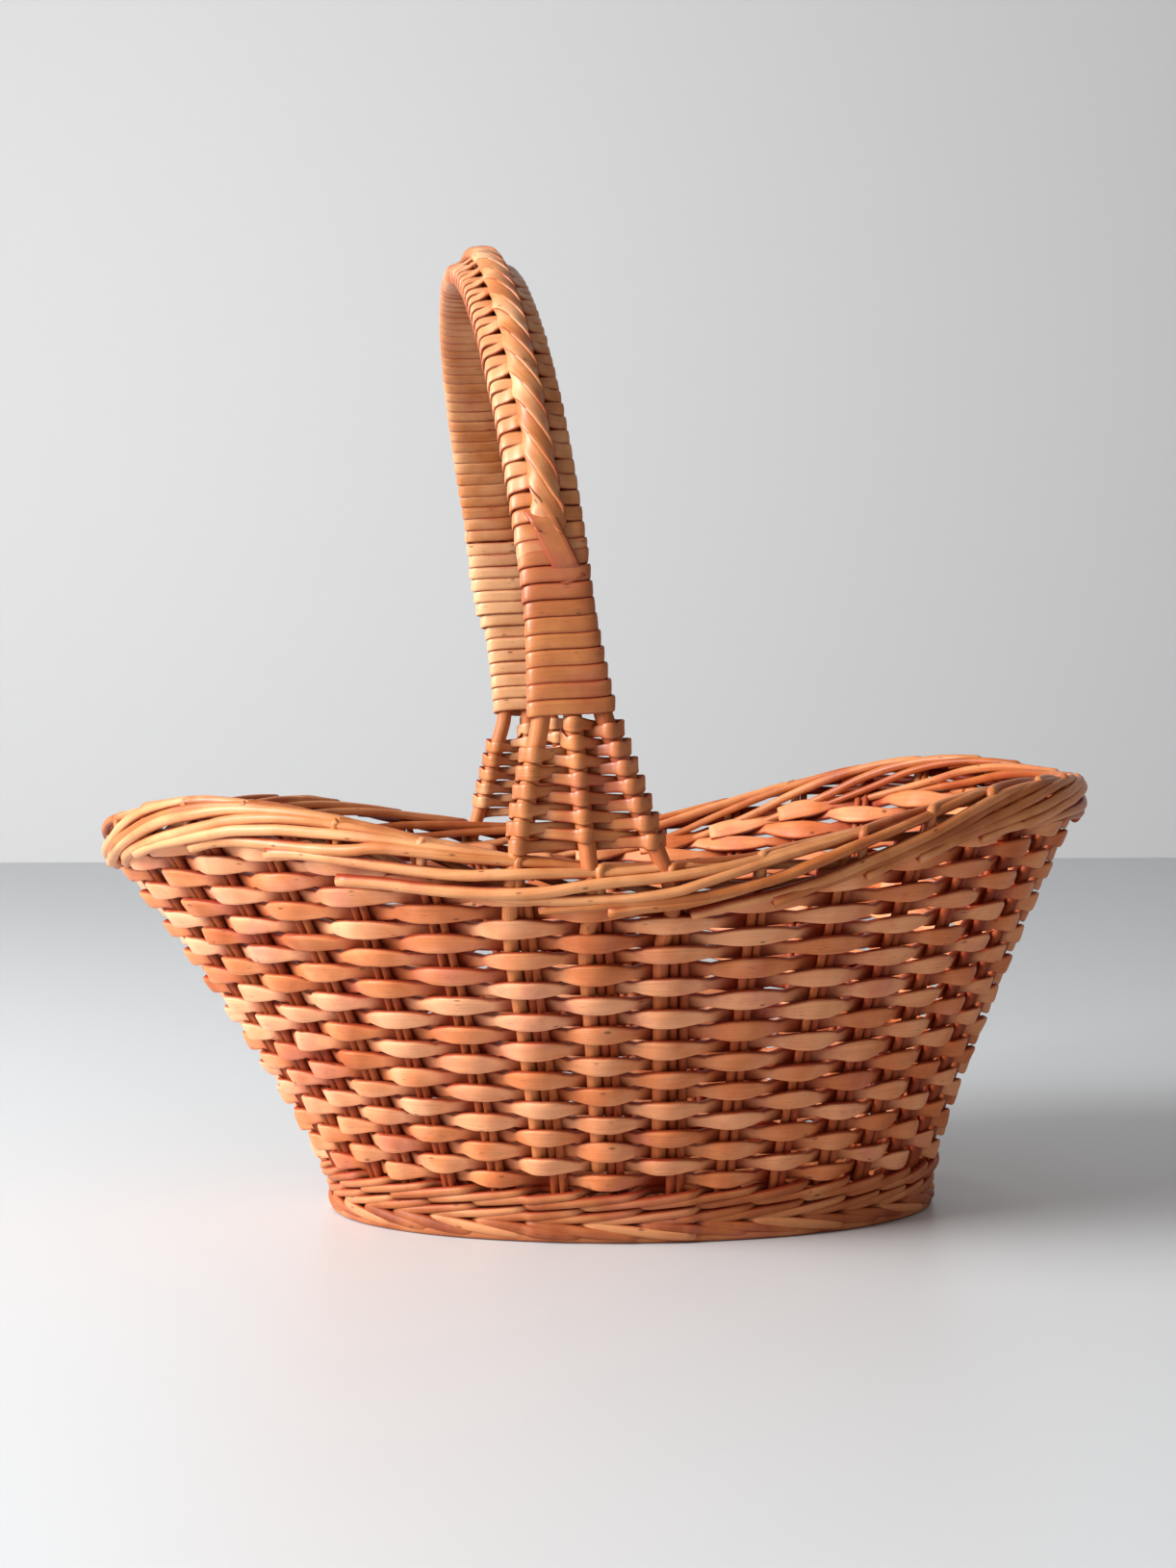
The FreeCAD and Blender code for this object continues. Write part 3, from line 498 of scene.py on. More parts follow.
def weave(rods, first, last, row):
    """One split weaver from group first to group last, which both hold it inside."""
    random = rods.random
    groups = np.arange(first - 1, last + 2)
    heights = row_height(groups, row) + random.normal(0, ROW_UNEVENNESS, len(groups))
    heights = np.minimum(heights, rim_height(groups) - HIGHEST_UNDER_BORDER)
    kinks = random.uniform(*KINK_RANGE, len(groups))
    crisp = CRISP_MEAN - CRISP_SWING * np.cos(rim_oval.angle(groups))
    crisp = np.clip(crisp + random.uniform(-CRISP_SCATTER, CRISP_SCATTER, len(groups)), 0, 1)
    count = int((last - first + 2 * TUCKED_GAPS) * SAMPLES_PER_GAP)
    stakes = np.linspace(first - TUCKED_GAPS, last + TUCKED_GAPS, count)
    nearest = np.clip(np.round(stakes).astype(int), groups[0], groups[-1])
    index = nearest - groups[0]
    from_group = stakes - nearest

    # A soft rod swings as a cosine, and a crisp one has a flat float with a knee at each side.
    from_kink = np.clip(from_group - kinks[index] * (1 - 4 * from_group ** 2), -0.5, 0.5)
    soft = np.cos(math.pi * from_group)
    knee = np.minimum(1.45 * (1 - 2 * np.abs(from_kink)), 1.12 - 0.55 * np.abs(from_kink))
    swing = knee * crisp[index] + soft * (1 - crisp[index])
    reach = (group_depth(nearest) + WEAVER_HALF_DEPTH) * FLOAT_CLEARANCE
    side = np.where(is_outside(nearest, row), 1.0, -1.0)
    offset = side * reach * swing
    end = np.minimum(stakes - stakes[0], stakes[-1] - stakes)
    offset -= TUCK_DEPTH * np.clip(1 - end / TUCKED_GAPS, 0, 1)
    level = np.interp(stakes, groups, heights)
    point, _, upward, outward = side_frame(stakes, level)

    # The split rod shows its full width on a float, and less where it crosses the side. It is
    # set off level, because along the flared side's own outward way its floats would droop.
    size = 1 + wander(random, count, 30, 0.05) + random.uniform(-0.03, 0.05)
    fullness = np.clip(np.abs(swing), 0, 1) ** (1.0 - 0.45 * crisp[index])
    half_height = (WEAVER_HALF_AT_CROSSING
                   + (WEAVER_HALF_AT_FLOAT - WEAVER_HALF_AT_CROSSING) * fullness) * size
    level_outward = unit(outward * (X_AXIS + Y_AXIS))
    offset /= np.sum(level_outward * outward, axis=-1)
    # Painted shade on the weaver: lighter on an outward float's face, darker along its top and
    # bottom edges.
    rods.add(point + level_outward * offset[:, None], upward, half_height,
             WEAVER_HALF_DEPTH * size, stain=WEAVER_SHADE, lit=FLOAT_LIT * side * swing,
             edge_stain=0.38, sides=16, squareness=0.5, roll=wander(random, count, 25, 0.09))


def short_runs(row):
    """First and last group of each run of groups with room for a short row."""
    runs = []
    start = HANDLE_FRONT[1]
    first = None
    for group in range(start, start + GROUPS + 1):
        if row_fits(group, row):
            first = group if first is None else first
            continue
        if first is not None:
            first -= 1 + is_outside(first - 1, row)
            last = group + is_outside(group, row)
            if last - first >= SHORTEST_RUN:
                runs.append((first, last))
        first = None
    return runs


def build_rows():
    length = GROUPS // RODS_PER_ROW
    for row in range(FULL_ROWS):
        rods = Rods(f"willow_side_row_{row + 1:02d}", "weaver_willow", SEEDS["side_rows"] + row)
        for number in range(RODS_PER_ROW):
            first = (ROW_STAGGER * row + 1) % GROUPS + number * length
            weave(rods, first, first + length, row)
        rods.build()
    ends = {end: Rods(f"willow_packing_rows_{end}", "weaver_willow",
                      SEEDS["packing_rows"] + number)
            for number, end in enumerate(("left", "right"))}
    for row in range(FULL_ROWS, HIGHEST_SHORT_ROW + 1):
        for first, last in short_runs(row):
            weave(ends["right" if first < HANDLE_BACK[1] else "left"], first, last, row)
    for rods in ends.values():
        rods.build()


# ------------------------------------------------------------- wales and foot border

WALE_RODS = 3
WALE_SAMPLES_PER_GAP = 10
WALE_ROD_RADIUS = 1.65 * MM
WALE_SWELL = 0.9 * MM
FOOT_ROD_RADIUS = 2.05 * MM
ROLL_RADIUS = 2.1 * MM
ROLL_HEIGHT = 2.2 * MM
ROLL_REACH = 3.4 * MM
ROLL_SAMPLES = 140
ROLL_TUCK_SAMPLES = 14
ROLL_TUCK_DEPTH = 4.0 * MM


def wale_strand(rods, number, bottom, top, radius, falls):
    """One of three rods that pass outside two groups and inside the third.

    Each float comes out low from between two stakes and climbs over the next float's start,
    or falls when falls is true.
    """
    random = rods.random
    stakes = number + np.arange(GROUPS * WALE_SAMPLES_PER_GAP + 1) / WALE_SAMPLES_PER_GAP
    phase = ((stakes - number) % WALE_RODS) / WALE_RODS
    inside = np.exp(-(np.minimum(phase, 1 - phase) / 0.15) ** 4)
    share = np.clip((phase - 0.10) / 0.80, 0, 1)
    if falls:
        share = 1 - share
    share = share * (1 - inside) + 0.5 * inside
    height = bottom + radius + share * (top - bottom - 2 * radius)
    height = height + wander(random, len(stakes), 10, 0.25 * MM)
    point, _, upward, outward = side_frame(stakes, height)
    depth = group_depth(np.round(stakes).astype(int)) + radius
    swell = WALE_SWELL * np.sin(math.pi * np.clip((phase - 0.12) / 0.76, 0, 1))
    lift = depth * (1 - 2 * inside) + swell
    size = radius * (1 + wander(random, len(stakes), 24, 0.08))
    # Painted shade, deeper where the rod passes inside behind the stakes, lighter on its outward
    # face and darker along its edges.
    rods.add(point + outward * lift[:, None], upward, size * 1.08, size * 0.92,
             stain=0.35 + 0.5 * inside, lit=0.35, edge_stain=0.55, sides=16)


def foot_roll(rods, number):
    """A rod of the foot that lies along its bottom edge for a third of the way round."""
    third = GROUPS / WALE_RODS
    stakes = number * third + np.linspace(-1.0, third + 1.0, ROLL_SAMPLES)
    level = ROLL_HEIGHT + wander(rods.random, ROLL_SAMPLES, 20, 0.15 * MM)
    point, _, upward, outward = side_frame(stakes, level)
    step = np.arange(ROLL_SAMPLES)
    tucked = np.clip(1 - np.minimum(step, step[::-1]) / ROLL_TUCK_SAMPLES, 0, 1)
    place = point + outward * (ROLL_REACH - ROLL_TUCK_DEPTH * tucked)[:, None]
    # Painted shade, lighter on the outward face and darker along the edges.
    rods.add(place, upward, ROLL_RADIUS, ROLL_RADIUS, stain=0.38, lit=0.3, edge_stain=0.4,
             sides=16)


def build_wales():
    for index, name in enumerate(("lower_wale", "upper_wale")):
        rods = Rods(f"willow_{name}", "wale_willow", SEEDS["wales"] + index)
        bottom = FOOT_TOP + index * WALE_BAND
        for number in range(WALE_RODS):
            wale_strand(rods, number, bottom - 1.2 * MM, bottom + WALE_BAND + 1.6 * MM,
                        WALE_ROD_RADIUS, False)
        rods.build()
    rods = Rods("willow_foot_border", "wale_willow", SEEDS["foot"])
    for number in range(WALE_RODS):
        wale_strand(rods, number, 0.4 * MM, FOOT_TOP + 1.8 * MM, FOOT_ROD_RADIUS, True)
        foot_roll(rods, number)
    rods.build()


# ------------------------------------------------------------------------- stakes

STAKE_SAMPLES = 26
# Each kind of stake: its side of the group, its foot, and its top under the border's middle line.
STAKE_KINDS = (("stakes", -1, 2.0 * MM, -3.0 * MM), ("bye_stakes", 1, 9.0 * MM, 5.0 * MM))


def build_stakes():
    share = np.linspace(0, 1, STAKE_SAMPLES)
    taper = np.linspace(1.06, 0.92, STAKE_SAMPLES)
    for index, (quarter, groups) in enumerate(QUARTERS.items()):
        for kind, side, bottom, drop in STAKE_KINDS:
            rods = Rods(f"willow_{kind}_{quarter}", "stake_willow",
                        SEEDS["stakes"] + 10 * index + side)
            for group in groups:
                place = side * STAKE_RADIUS * 1.02
                if group % GROUPS in HANDLE_GROUPS:
                    place += HANDLE_TIP_RADIUS
                top = rim_height(group) - drop
                height = bottom + (top - bottom) * share
                lean = wander(rods.random, STAKE_SAMPLES, 9, 0.35 * MM)
                point, along, _, outward = side_frame(group + 0 * share, height)
                size = STAKE_RADIUS * rods.random.uniform(0.9, 1.06) * taper
                # Painted shade over the stakes, which mostly show in the gaps between the floats,
                # by a random amount for each stake.
                rods.add(point + along * (place + lean)[:, None], outward, size, size,
                         stain=0.3 + 0.25 * rods.random.uniform())
            rods.build()


# ------------------------------------------------------------------- rolled border

BORDER_ROD_SAMPLES = 56
HOOK_SAMPLES = 76
BORDER_GAPS = 5.9
HOOK_GAPS = 4.1
# Angles round the border's section in degrees: 0 is outside, 90 on top and 180 inside.
BORDER_START_ANGLE = -84
BORDER_END_ANGLE = 118
STUB_ANGLE = 62
HOOK_START_ANGLE = 88
HOOK_END_ANGLE = 262
SINK_DEPTH = 2.2 * MM
CUT_END_LIFT = 1.5 * MM
STUB_BELOW = 9 * MM
STUB_INSIDE = 1.5 * MM
# One rod at the front left has come loose, and its start hangs under the border.
STRAY_GROUP = 5
STRAY_DROOP = 5.5 * MM


def border_place(stake, angle, shrink=0.0):
    """A place on the border's rounded section, the outward way there and the way round it."""
    centre = rim_oval.at(stake)
    centre[..., 2] = rim_height(stake)
    ahead = rim_oval.at(stake + 0.05) - rim_oval.at(stake - 0.05)
    outward = unit(np.cross(unit(ahead), UP))
    depth = BORDER_HALF_DEPTH - BORDER_ROD_RADIUS - shrink
    height = BORDER_HALF_HEIGHT - BORDER_ROD_RADIUS - shrink
    across = np.sign(np.cos(angle)) * np.abs(np.cos(angle)) ** 0.7
    rise = np.sign(np.sin(angle)) * np.abs(np.sin(angle)) ** 0.85
    from_centre = outward * (depth * across)[..., None] + UP * (height * rise)[..., None]
    return centre + from_centre, outward, np.cross(from_centre, unit(ahead))


def border_rod(rods, group):
    """A rod that comes out low on the outside, climbs to the right and goes over the top."""
    random = rods.random
    count = BORDER_ROD_SAMPLES
    travel = np.linspace(0, 1, count)
    low = BORDER_START_ANGLE + random.uniform(-12, 22)
    stake = group + random.uniform(-0.35, 0.35)
    stake = stake + travel * (BORDER_GAPS + random.uniform(-0.8, 0.8))
    angle = np.radians(low + (BORDER_END_ANGLE - low) * travel ** 1.1)
    angle = angle + wander(random, count, 11, 0.13)

    # The thin end dives under its neighbours, and the cut start stands off them.
    sunk = SINK_DEPTH * np.clip((travel - 0.86) / 0.14, 0, 1)
    sunk += wander(random, count, 11, 0.55 * MM)
    sunk -= CUT_END_LIFT * np.clip(1 - travel / 0.08, 0, 1)
    place, _, ups = border_place(stake, angle, sunk)
    size = BORDER_ROD_RADIUS * random.uniform(0.86, 1.08) * np.linspace(1.06, 0.82, count)
    droop = STRAY_DROOP * (group == STRAY_GROUP) * np.clip(1 - travel / 0.45, 0, 1)
    # Painted shade, less towards the rod's end, and lighter on its outward face.
    rods.add(place - UP * droop[:, None], ups, size, size, stain=0.36 - 0.1 * travel, lit=0.4,
             sides=12)


def hook_rod(rods, group):
    """A stake's top: it comes up through the border, bends right and dives down inside."""
    random = rods.random
    stake = group + random.uniform(-0.12, 0.12)
    stub, outward, _ = border_place(np.array(stake), np.array(math.radians(STUB_ANGLE)))
    foot = stub - UP * STUB_BELOW - outward * STUB_INSIDE
    travel = np.linspace(0, 1, 9)
    ahead = stake + 0.16 + travel * (HOOK_GAPS + random.uniform(-0.4, 0.4))
    angle = np.radians(HOOK_START_ANGLE + (HOOK_END_ANGLE - HOOK_START_ANGLE) * travel ** 1.15)
    over = border_place(ahead, angle, -0.4 * MM * (1 - travel))[0]
    knots = [foot, (foot + stub) / 2, stub + UP * 0.6 * MM] + list(over)
    path = smooth_path(knots, HOOK_SAMPLES)
    size = BORDER_ROD_RADIUS * random.uniform(0.84, 1.0) * np.linspace(1.02, 0.84, HOOK_SAMPLES)
    # Painted shade on the stake's top, darker along its edges.
    rods.add(path, X_AXIS + 0.3 * UP, size, size, stain=0.22, edge_stain=0.2, sides=12)


def build_border():
    for index, (quarter, groups) in enumerate(QUARTERS.items()):
        for kind, make in (("rods", border_rod), ("tails", hook_rod)):
            rods = Rods(f"willow_border_{kind}_{quarter}", "border_willow",
                        SEEDS["border"] + 10 * index + (kind == "tails"))
            for group in groups:
                make(rods, group)
            rods.build()


# ------------------------------------------------------------------------- handle

HANDLE_FOOT_X = -14.1 * MM
HANDLE_LEAN = 36.6 * MM
HANDLE_SKEW = 0.7 * MM
HANDLE_TWIST = 8.3 * MM
LEAN_POWER = 1.1
ROD_OPENING = 3.5 * MM
OPENING_POWER = 1.3
HALF_SPAN = 139.6 * MM
HANDLE_SPRING = 241.6 * MM
FAN_BOTTOM = 154.0 * MM
FAN_TOP = 203.0 * MM
LEG = HANDLE_SPRING - FAN_TOP
ARCH = math.pi * HALF_SPAN
WRAPPED = 2 * LEG + ARCH
ROD_BELOW_BORDER_MIDDLE = 4.0 * MM
HANDLE_ROD_SAMPLES = 260
LEG_HEIGHTS = np.array([30.0, 60.0, 90.0, 120.0]) * MM
FAN_HEIGHTS = (170 * MM, 190 * MM)
THINNER_BELOW = 145 * MM
FULL_ABOVE = 165 * MM


def handle_frame(travel):
    """The handle's middle line, from the front fan's top over to the back fan's top."""
    travel = np.asarray(travel, float)
    angle = np.clip((travel - LEG) / HALF_SPAN, 0, math.pi)
    outward = np.stack([0 * angle, -np.cos(angle), np.sin(angle)], axis=-1)
    place = outward * HALF_SPAN
    place[..., 2] += HANDLE_SPRING
    place[..., 2] -= np.maximum(LEG - travel, 0) + np.maximum(travel - LEG - ARCH, 0)
    place[..., 0] = handle_x(place[..., 1], place[..., 2])
    return place, outward


def handle_x(y_place, height):
    """Where the handle's middle is along the basket: it leans left, and twists a little."""
    top = HANDLE_SPRING + HALF_SPAN
    rise = np.maximum((height - FAN_BOTTOM) / (top - FAN_BOTTOM), 0)
    return (HANDLE_FOOT_X - HANDLE_LEAN * rise ** LEAN_POWER
            - (HANDLE_SKEW + HANDLE_TWIST * rise) * y_place / HALF_SPAN)


def rod_spacing(travel):
    """The distance between neighbouring handle rods, which open out down the legs."""
    from_end = np.minimum(travel, WRAPPED - travel)
    opening = np.maximum(1 - from_end / LEG, 0)
    return 2 * HANDLE_ROD_RADIUS + 0.5 * MM + ROD_OPENING * opening ** OPENING_POWER


def smooth_path(knots, count):
    """A smooth curve through knots: cubic pieces whose slopes agree, centripetally spaced."""
    knots = np.asarray(knots, float)
    gaps = np.linalg.norm(np.diff(knots, axis=0), axis=1) ** 0.5
    times = np.concatenate([[0.0], np.cumsum(gaps)])
    slopes = np.gradient(knots, times, axis=0)
    where = np.linspace(0, times[-1], count)
    index = np.clip(np.searchsorted(times, where, side="right") - 1, 0, len(knots) - 2)
    span = (times[index + 1] - times[index])[:, None]
    part = (where - times[index])[:, None] / span
    return ((2 * part ** 3 - 3 * part ** 2 + 1) * knots[index]
            + (part ** 3 - 2 * part ** 2 + part) * span * slopes[index]
            + (3 * part ** 2 - 2 * part ** 3) * knots[index + 1]
            + (part ** 3 - part ** 2) * span * slopes[index + 1])


def fan_point(group, place, side_sign, height):
    """A handle rod's place in the fan, where it runs straight from border to wrapping."""
    low = rim_oval.at(np.array(group))
    low[2] = rim_height(group) - ROD_BELOW_BORDER_MIDDLE
    high = handle_frame(np.array(0.0 if side_sign < 0 else WRAPPED))[0]
    high[0] += place * rod_spacing(0.0)
    return low + (high - low) * ((height - low[2]) / (high[2] - low[2]))


def leg_knots(group, place, side_sign):
    """A handle rod from inside the weaving up through the border to the fan's top."""
    point, along, _, _ = side_frame(group, LEG_HEIGHTS)
    knots = list(point - along * 2 * STAKE_RADIUS)
    for height in (rim_height(group) - ROD_BELOW_BORDER_MIDDLE, *FAN_HEIGHTS):
        knots.append(fan_point(group, place, side_sign, height))
    return knots


def build_handle_rods():
    for place, name in ((-1, "left"), (0, "middle"), (1, "right")):
        rods = Rods(f"willow_handle_rod_{name}", "handle_willow", SEEDS["handle_rods"] + place)
        front = leg_knots(HANDLE_FRONT[place + 1], place, -1)
        back = leg_knots(HANDLE_BACK[place + 1], place, 1)[::-1]
        stations = np.concatenate([[0.0, LEG / 2], LEG + ARCH * np.linspace(0, 1, 25),
                                   [WRAPPED - LEG / 2, WRAPPED]])
        middle = handle_frame(stations)[0]
        middle[:, 0] += place * rod_spacing(stations)
        path = smooth_path(front + list(middle) + back, HANDLE_ROD_SAMPLES)
        size = np.interp(path[:, 2], [THINNER_BELOW, FULL_ABOVE],
                         [HANDLE_TIP_RADIUS, HANDLE_ROD_RADIUS * 0.97])
        # A light even painted shade.
        rods.add(path, X_AXIS, size, size, stain=0.2, sides=16)
        rods.build()


# ----------------------------------------------------------------- handle wrapping

WRAP_CORNERS = 28
WRAP_PITCH = 5.75 * MM
WRAP_HALF_WIDTH = 2.95 * MM
SKEIN_HALF_THICKNESS = 0.65 * MM
FRONT_LEG_END = LEG + 18 * MM
BACK_LEG_START = LEG + ARCH - 46 * MM
# Where a band of the wrapping lies over an earlier one: its start, its end and its thickness.
DOUBLED = ((BACK_LEG_START, LEG + ARCH - 8 * MM, 1.0 * MM),
           (BACK_LEG_START + 14 * MM, LEG + ARCH - 4 * MM, 1.1 * MM))
RIDGE_START = LEG + 24 * MM
RIDGE_END = LEG + ARCH - 60 * MM
RIDGE_PITCH = 45 * MM
RIDGE_STRANDS = 4
RIDGE_HALF_WIDTH = 3.9 * MM
RIDGE_DEPTH = 6.0 * MM
RIDGE_SAMPLES = 460
RIDGE_SLOPE = 22 * MM
RIBBON_HALF_WIDTH = 3.1 * MM
RIBBON_HALF_THICKNESS = 0.95 * MM
SECTION_MIDDLE = 0.45
SECTION_RISE = 0.42
TAIL_SAMPLES = 30
TAIL_HALF_WIDTH = 4.7 * MM
TAIL_HALF_THICKNESS = 0.9 * MM
LIFTED_WRAP = 2.6 * MM
LEG_MARGIN = 1.5 * MM


def wrap_skein(rods, start, end):
    """A flat skein wound round the three rods.

    It lies thicker where a band is doubled, and beside the ridge every second turn stands up.
    """
    random = rods.random
    count = int((end - start) / WRAP_PITCH * WRAP_CORNERS)
    step = np.arange(count + 1)
    travel = start + (end - start) * step / count
    turn = 2 * math.pi * step / WRAP_CORNERS
    centre, outward = handle_frame(travel)
    bulk = 0.0 * travel
    for band_start, band_end, thickness in DOUBLED:
        bulk += thickness * ((travel > band_start) & (travel < band_end))
    half_depth = HANDLE_ROD_RADIUS + SKEIN_HALF_THICKNESS + bulk
    half_width = rod_spacing(travel) + half_depth + 0.4 * MM
    across = -np.sign(np.cos(turn)) * np.abs(np.cos(turn)) ** 0.62
    through = np.sign(np.sin(turn)) * np.abs(np.sin(turn)) ** 0.5
    beside = np.abs(np.abs(across * half_width) - RIDGE_HALF_WIDTH - 1.2 * MM) / (1.9 * MM)
    is_high = (np.floor(turn / (2 * math.pi) + 0.25) % 2 == 0) & (through > 0.3)
    under_ridge = np.clip(np.minimum(travel - RIDGE_START, RIDGE_END - travel) / (10 * MM), 0, 1)
    lift = LIFTED_WRAP * np.exp(-beside ** 2) * is_high * under_ridge
    path = (centre + X_AXIS * (across * half_width)[:, None]
            + outward * (through * half_depth + lift)[:, None])
    normal = outward * through[:, None] + X_AXIS * (across * 0.8)[:, None]
    ups = np.cross(normal, np.cross(normal, np.cross(outward, X_AXIS)))
    size = WRAP_HALF_WIDTH * (1 + wander(random, count + 1, 30, 0.05))
    # A light painted shade, darker along the skein's edges where its turns meet.
    rods.add(path, -ups, size, SKEIN_HALF_THICKNESS, stain=0.1, edge_stain=0.5, sides=12,
             squareness=0.6, roll=wander(random, count + 1, 40, 0.05))


def ridge_place(travel, turn, depth):
    """A place on the ridge's low D-shaped section, on top of the wrapping."""
    centre, outward = handle_frame(travel)
    base = HANDLE_ROD_RADIUS + 2 * SKEIN_HALF_THICKNESS
    across = RIDGE_HALF_WIDTH * np.cos(turn)
    rise = base + depth * (SECTION_MIDDLE + SECTION_RISE * np.sin(turn))
    return centre + X_AXIS * across[:, None] + outward * rise[:, None], outward


def ridge_strand(rods, number):
    """A flat ribbon that twists with three others into the ridge outside the handle."""
    travel = np.linspace(RIDGE_START, RIDGE_END, RIDGE_SAMPLES)
    turn = 2 * math.pi * ((travel - RIDGE_START) / RIDGE_PITCH + number / RIDGE_STRANDS)
    from_end = np.minimum(travel - RIDGE_START, RIDGE_END - travel)
    depth = RIDGE_DEPTH * np.clip(0.3 + 0.7 * from_end / RIDGE_SLOPE, 0, 1)
    path, outward = ridge_place(travel, turn, depth)
    normal = (X_AXIS * (np.cos(turn) / RIDGE_HALF_WIDTH)[:, None]
              + outward * (np.sin(turn) / (SECTION_RISE * depth))[:, None])
    lean = wander(rods.random, RIDGE_SAMPLES, 40, 0.05) - 0.10
    # Painted shade, deeper where a ribbon turns under the others, and darker along its edges.
    rods.add(path, np.cross(unit(normal), np.cross(outward, X_AXIS)), RIBBON_HALF_WIDTH,
             RIBBON_HALF_THICKNESS, stain=0.15 - 0.1 * np.sin(turn), edge_stain=0.3, sides=12,
             squareness=0.75, roll=lean)


def ridge_tail(rods):
    """The last ribbon's flat end, which points down to the right under the leg's wrapping."""
    travel = np.linspace(RIDGE_START + 9 * MM, FRONT_LEG_END - 10 * MM, TAIL_SAMPLES)
    share = np.linspace(0, 1, TAIL_SAMPLES)
    centre, outward = handle_frame(travel)
    climb = np.clip(share / 0.2, 0, 1) * np.clip(1 - share / 0.82, 0, 1) ** 0.55
    rise = HANDLE_ROD_RADIUS + (0.1 + 4.6 * climb) * MM
    path = centre + X_AXIS * ((-4.0 + 10.0 * share) * MM)[:, None] + outward * rise[:, None]
    # Painted shade, deeper towards the end that goes under the leg's wrapping.
    rods.add(path, X_AXIS, TAIL_HALF_WIDTH, TAIL_HALF_THICKNESS, stain=0.1 + 0.2 * share,
             edge_stain=0.4, sides=12, squareness=0.6)


def build_handle_wraps():
    wraps = (("wrap_front_leg", LEG_MARGIN, FRONT_LEG_END),
             ("wrap_over_arch", FRONT_LEG_END, BACK_LEG_START),
             ("wrap_back_leg", BACK_LEG_START, WRAPPED - LEG_MARGIN))
    for index, (name, start, end) in enumerate(wraps):
        rods = Rods(f"willow_{name}", "skein_willow", SEEDS["wraps"] + index)
        wrap_skein(rods, start, end)
        rods.build()
    rods = Rods("willow_ridge_strands", "skein_willow", SEEDS["ridge"])
    for number in range(RIDGE_STRANDS):
        ridge_strand(rods, number)
    ridge_tail(rods)
    rods.build()


# ----------------------------------------------------------------------- woven fans

FAN_PASSES = 14
BARE_PASSES = 3
FAN_ROD_REACH = 3.3 * MM
GAP_HALF_WIDTH = 2.05 * MM
TURN_HALF_WIDTH = 2.8 * MM
NARROWEST_SKEIN = 1.3 * MM
WIDEST_SKEIN = 3.1 * MM
# How a skein goes round a rod: place in rod reaches, how far it stands off, half width in mm.
ROUND_ROD = ((-1.0, 0.55, 2.3), (-0.45, 0.95, 2.9), (0.0, 1.06, 3.0), (0.45, 0.95, 2.9),
             (1.0, 0.55, 2.3))


def fan_knots(groups, side_sign):
    """Knots of the skein woven to and fro over three rods; the last value is half its width.

    The top passes leave the left rod bare.
    """
    bottom = FAN_BOTTOM + 2 * MM
    pitch = (FAN_TOP - 1.5 * MM - bottom) / FAN_PASSES
    depth = HANDLE_ROD_RADIUS + SKEIN_HALF_THICKNESS
    knots = []
    for number in range(FAN_PASSES):
        heading = 1 if number % 2 == 0 else -1
        is_bare = number >= FAN_PASSES - BARE_PASSES
        for position, place in enumerate((-heading, 0, heading)):
            if place == -1 and is_bare:
                continue
            height = bottom + pitch * (number + 0.5 + 0.28 * (position - 1))
            rod = fan_point(groups[place + 1], place, side_sign, height)
            over = 1 if (number + position) % 2 == 0 else -1
            for step, bulge, width in ROUND_ROD:
                if place * heading * step == 1:
                    bulge, width = 0.45, 2.7
                knots.append([rod[0] + heading * step * FAN_ROD_REACH,
                              rod[1] + side_sign * over * depth * bulge, height, width * MM])
            if position < 2 and not (position == 1 and heading < 0 and is_bare):
                further = fan_point(groups[place + heading + 1], place + heading, side_sign,
                                    height)
                knots.append([(rod[0] + further[0]) / 2, rod[1], height + 0.14 * pitch,
                              GAP_HALF_WIDTH])
        if number < FAN_PASSES - 1:
            knots.append([rod[0] + heading * (depth + 0.5 * MM), rod[1], height + 0.4 * pitch,
                          TURN_HALF_WIDTH])
    return knots


def build_fans():
    for name, groups, sign in (("fan_weave_front", HANDLE_FRONT, -1),
                               ("fan_weave_back", HANDLE_BACK, 1)):
        rods = Rods(f"willow_{name}", "skein_willow", SEEDS["fans"] + sign)
        knots = fan_knots(groups, sign)
        path = smooth_path(knots, len(knots) * 4)
        half_width = np.clip(path[:, 3], NARROWEST_SKEIN, WIDEST_SKEIN)
        # Painted shade, deeper where the skein narrows between and round the rods, and darker
        # along its edges.
        rods.add(path[:, :3], UP, half_width, SKEIN_HALF_THICKNESS,
                 stain=0.25 * (WIDEST_SKEIN - half_width) / MM, edge_stain=0.5, sides=12,
                 squareness=0.65)
        rods.build()


# --------------------------------------------------------------------------- base

SHORT_STICKS = 7
FAN_ANGLES = (-40, -19, 0, 19, 40)
EDGE_INSET = 5.0 * MM
SLATH_INSET = 55.0 * MM
STICK_HEIGHT = 11.5 * MM
STICK_GAP = 15.0 * MM
SHORT_STICK_RADIUS = 2.6 * MM
SHORT_STICK_SAMPLES = 24
LONG_STICK_RADIUS = 2.35 * MM
LONG_STICK_SAMPLES = 40
ROUNDS = 9
ROUND_RADIUS = 2.3 * MM
ROUND_SAMPLES = 200
ROUND_SWING = 3.6 * MM


def base_ring(inset, angle):
    """Places on an oval inside the base oval, at the sticks' height."""
    angle = np.asarray(angle, float)
    return np.stack([BASE_CENTRE_X + (BASE_HALF_LENGTH - inset) * np.cos(angle),
                     (BASE_HALF_WIDTH - inset) * np.sin(angle), STICK_HEIGHT + 0 * angle],
                    axis=-1)


def short_stick_place(number):
    return (number - (SHORT_STICKS - 1) / 2) * STICK_GAP


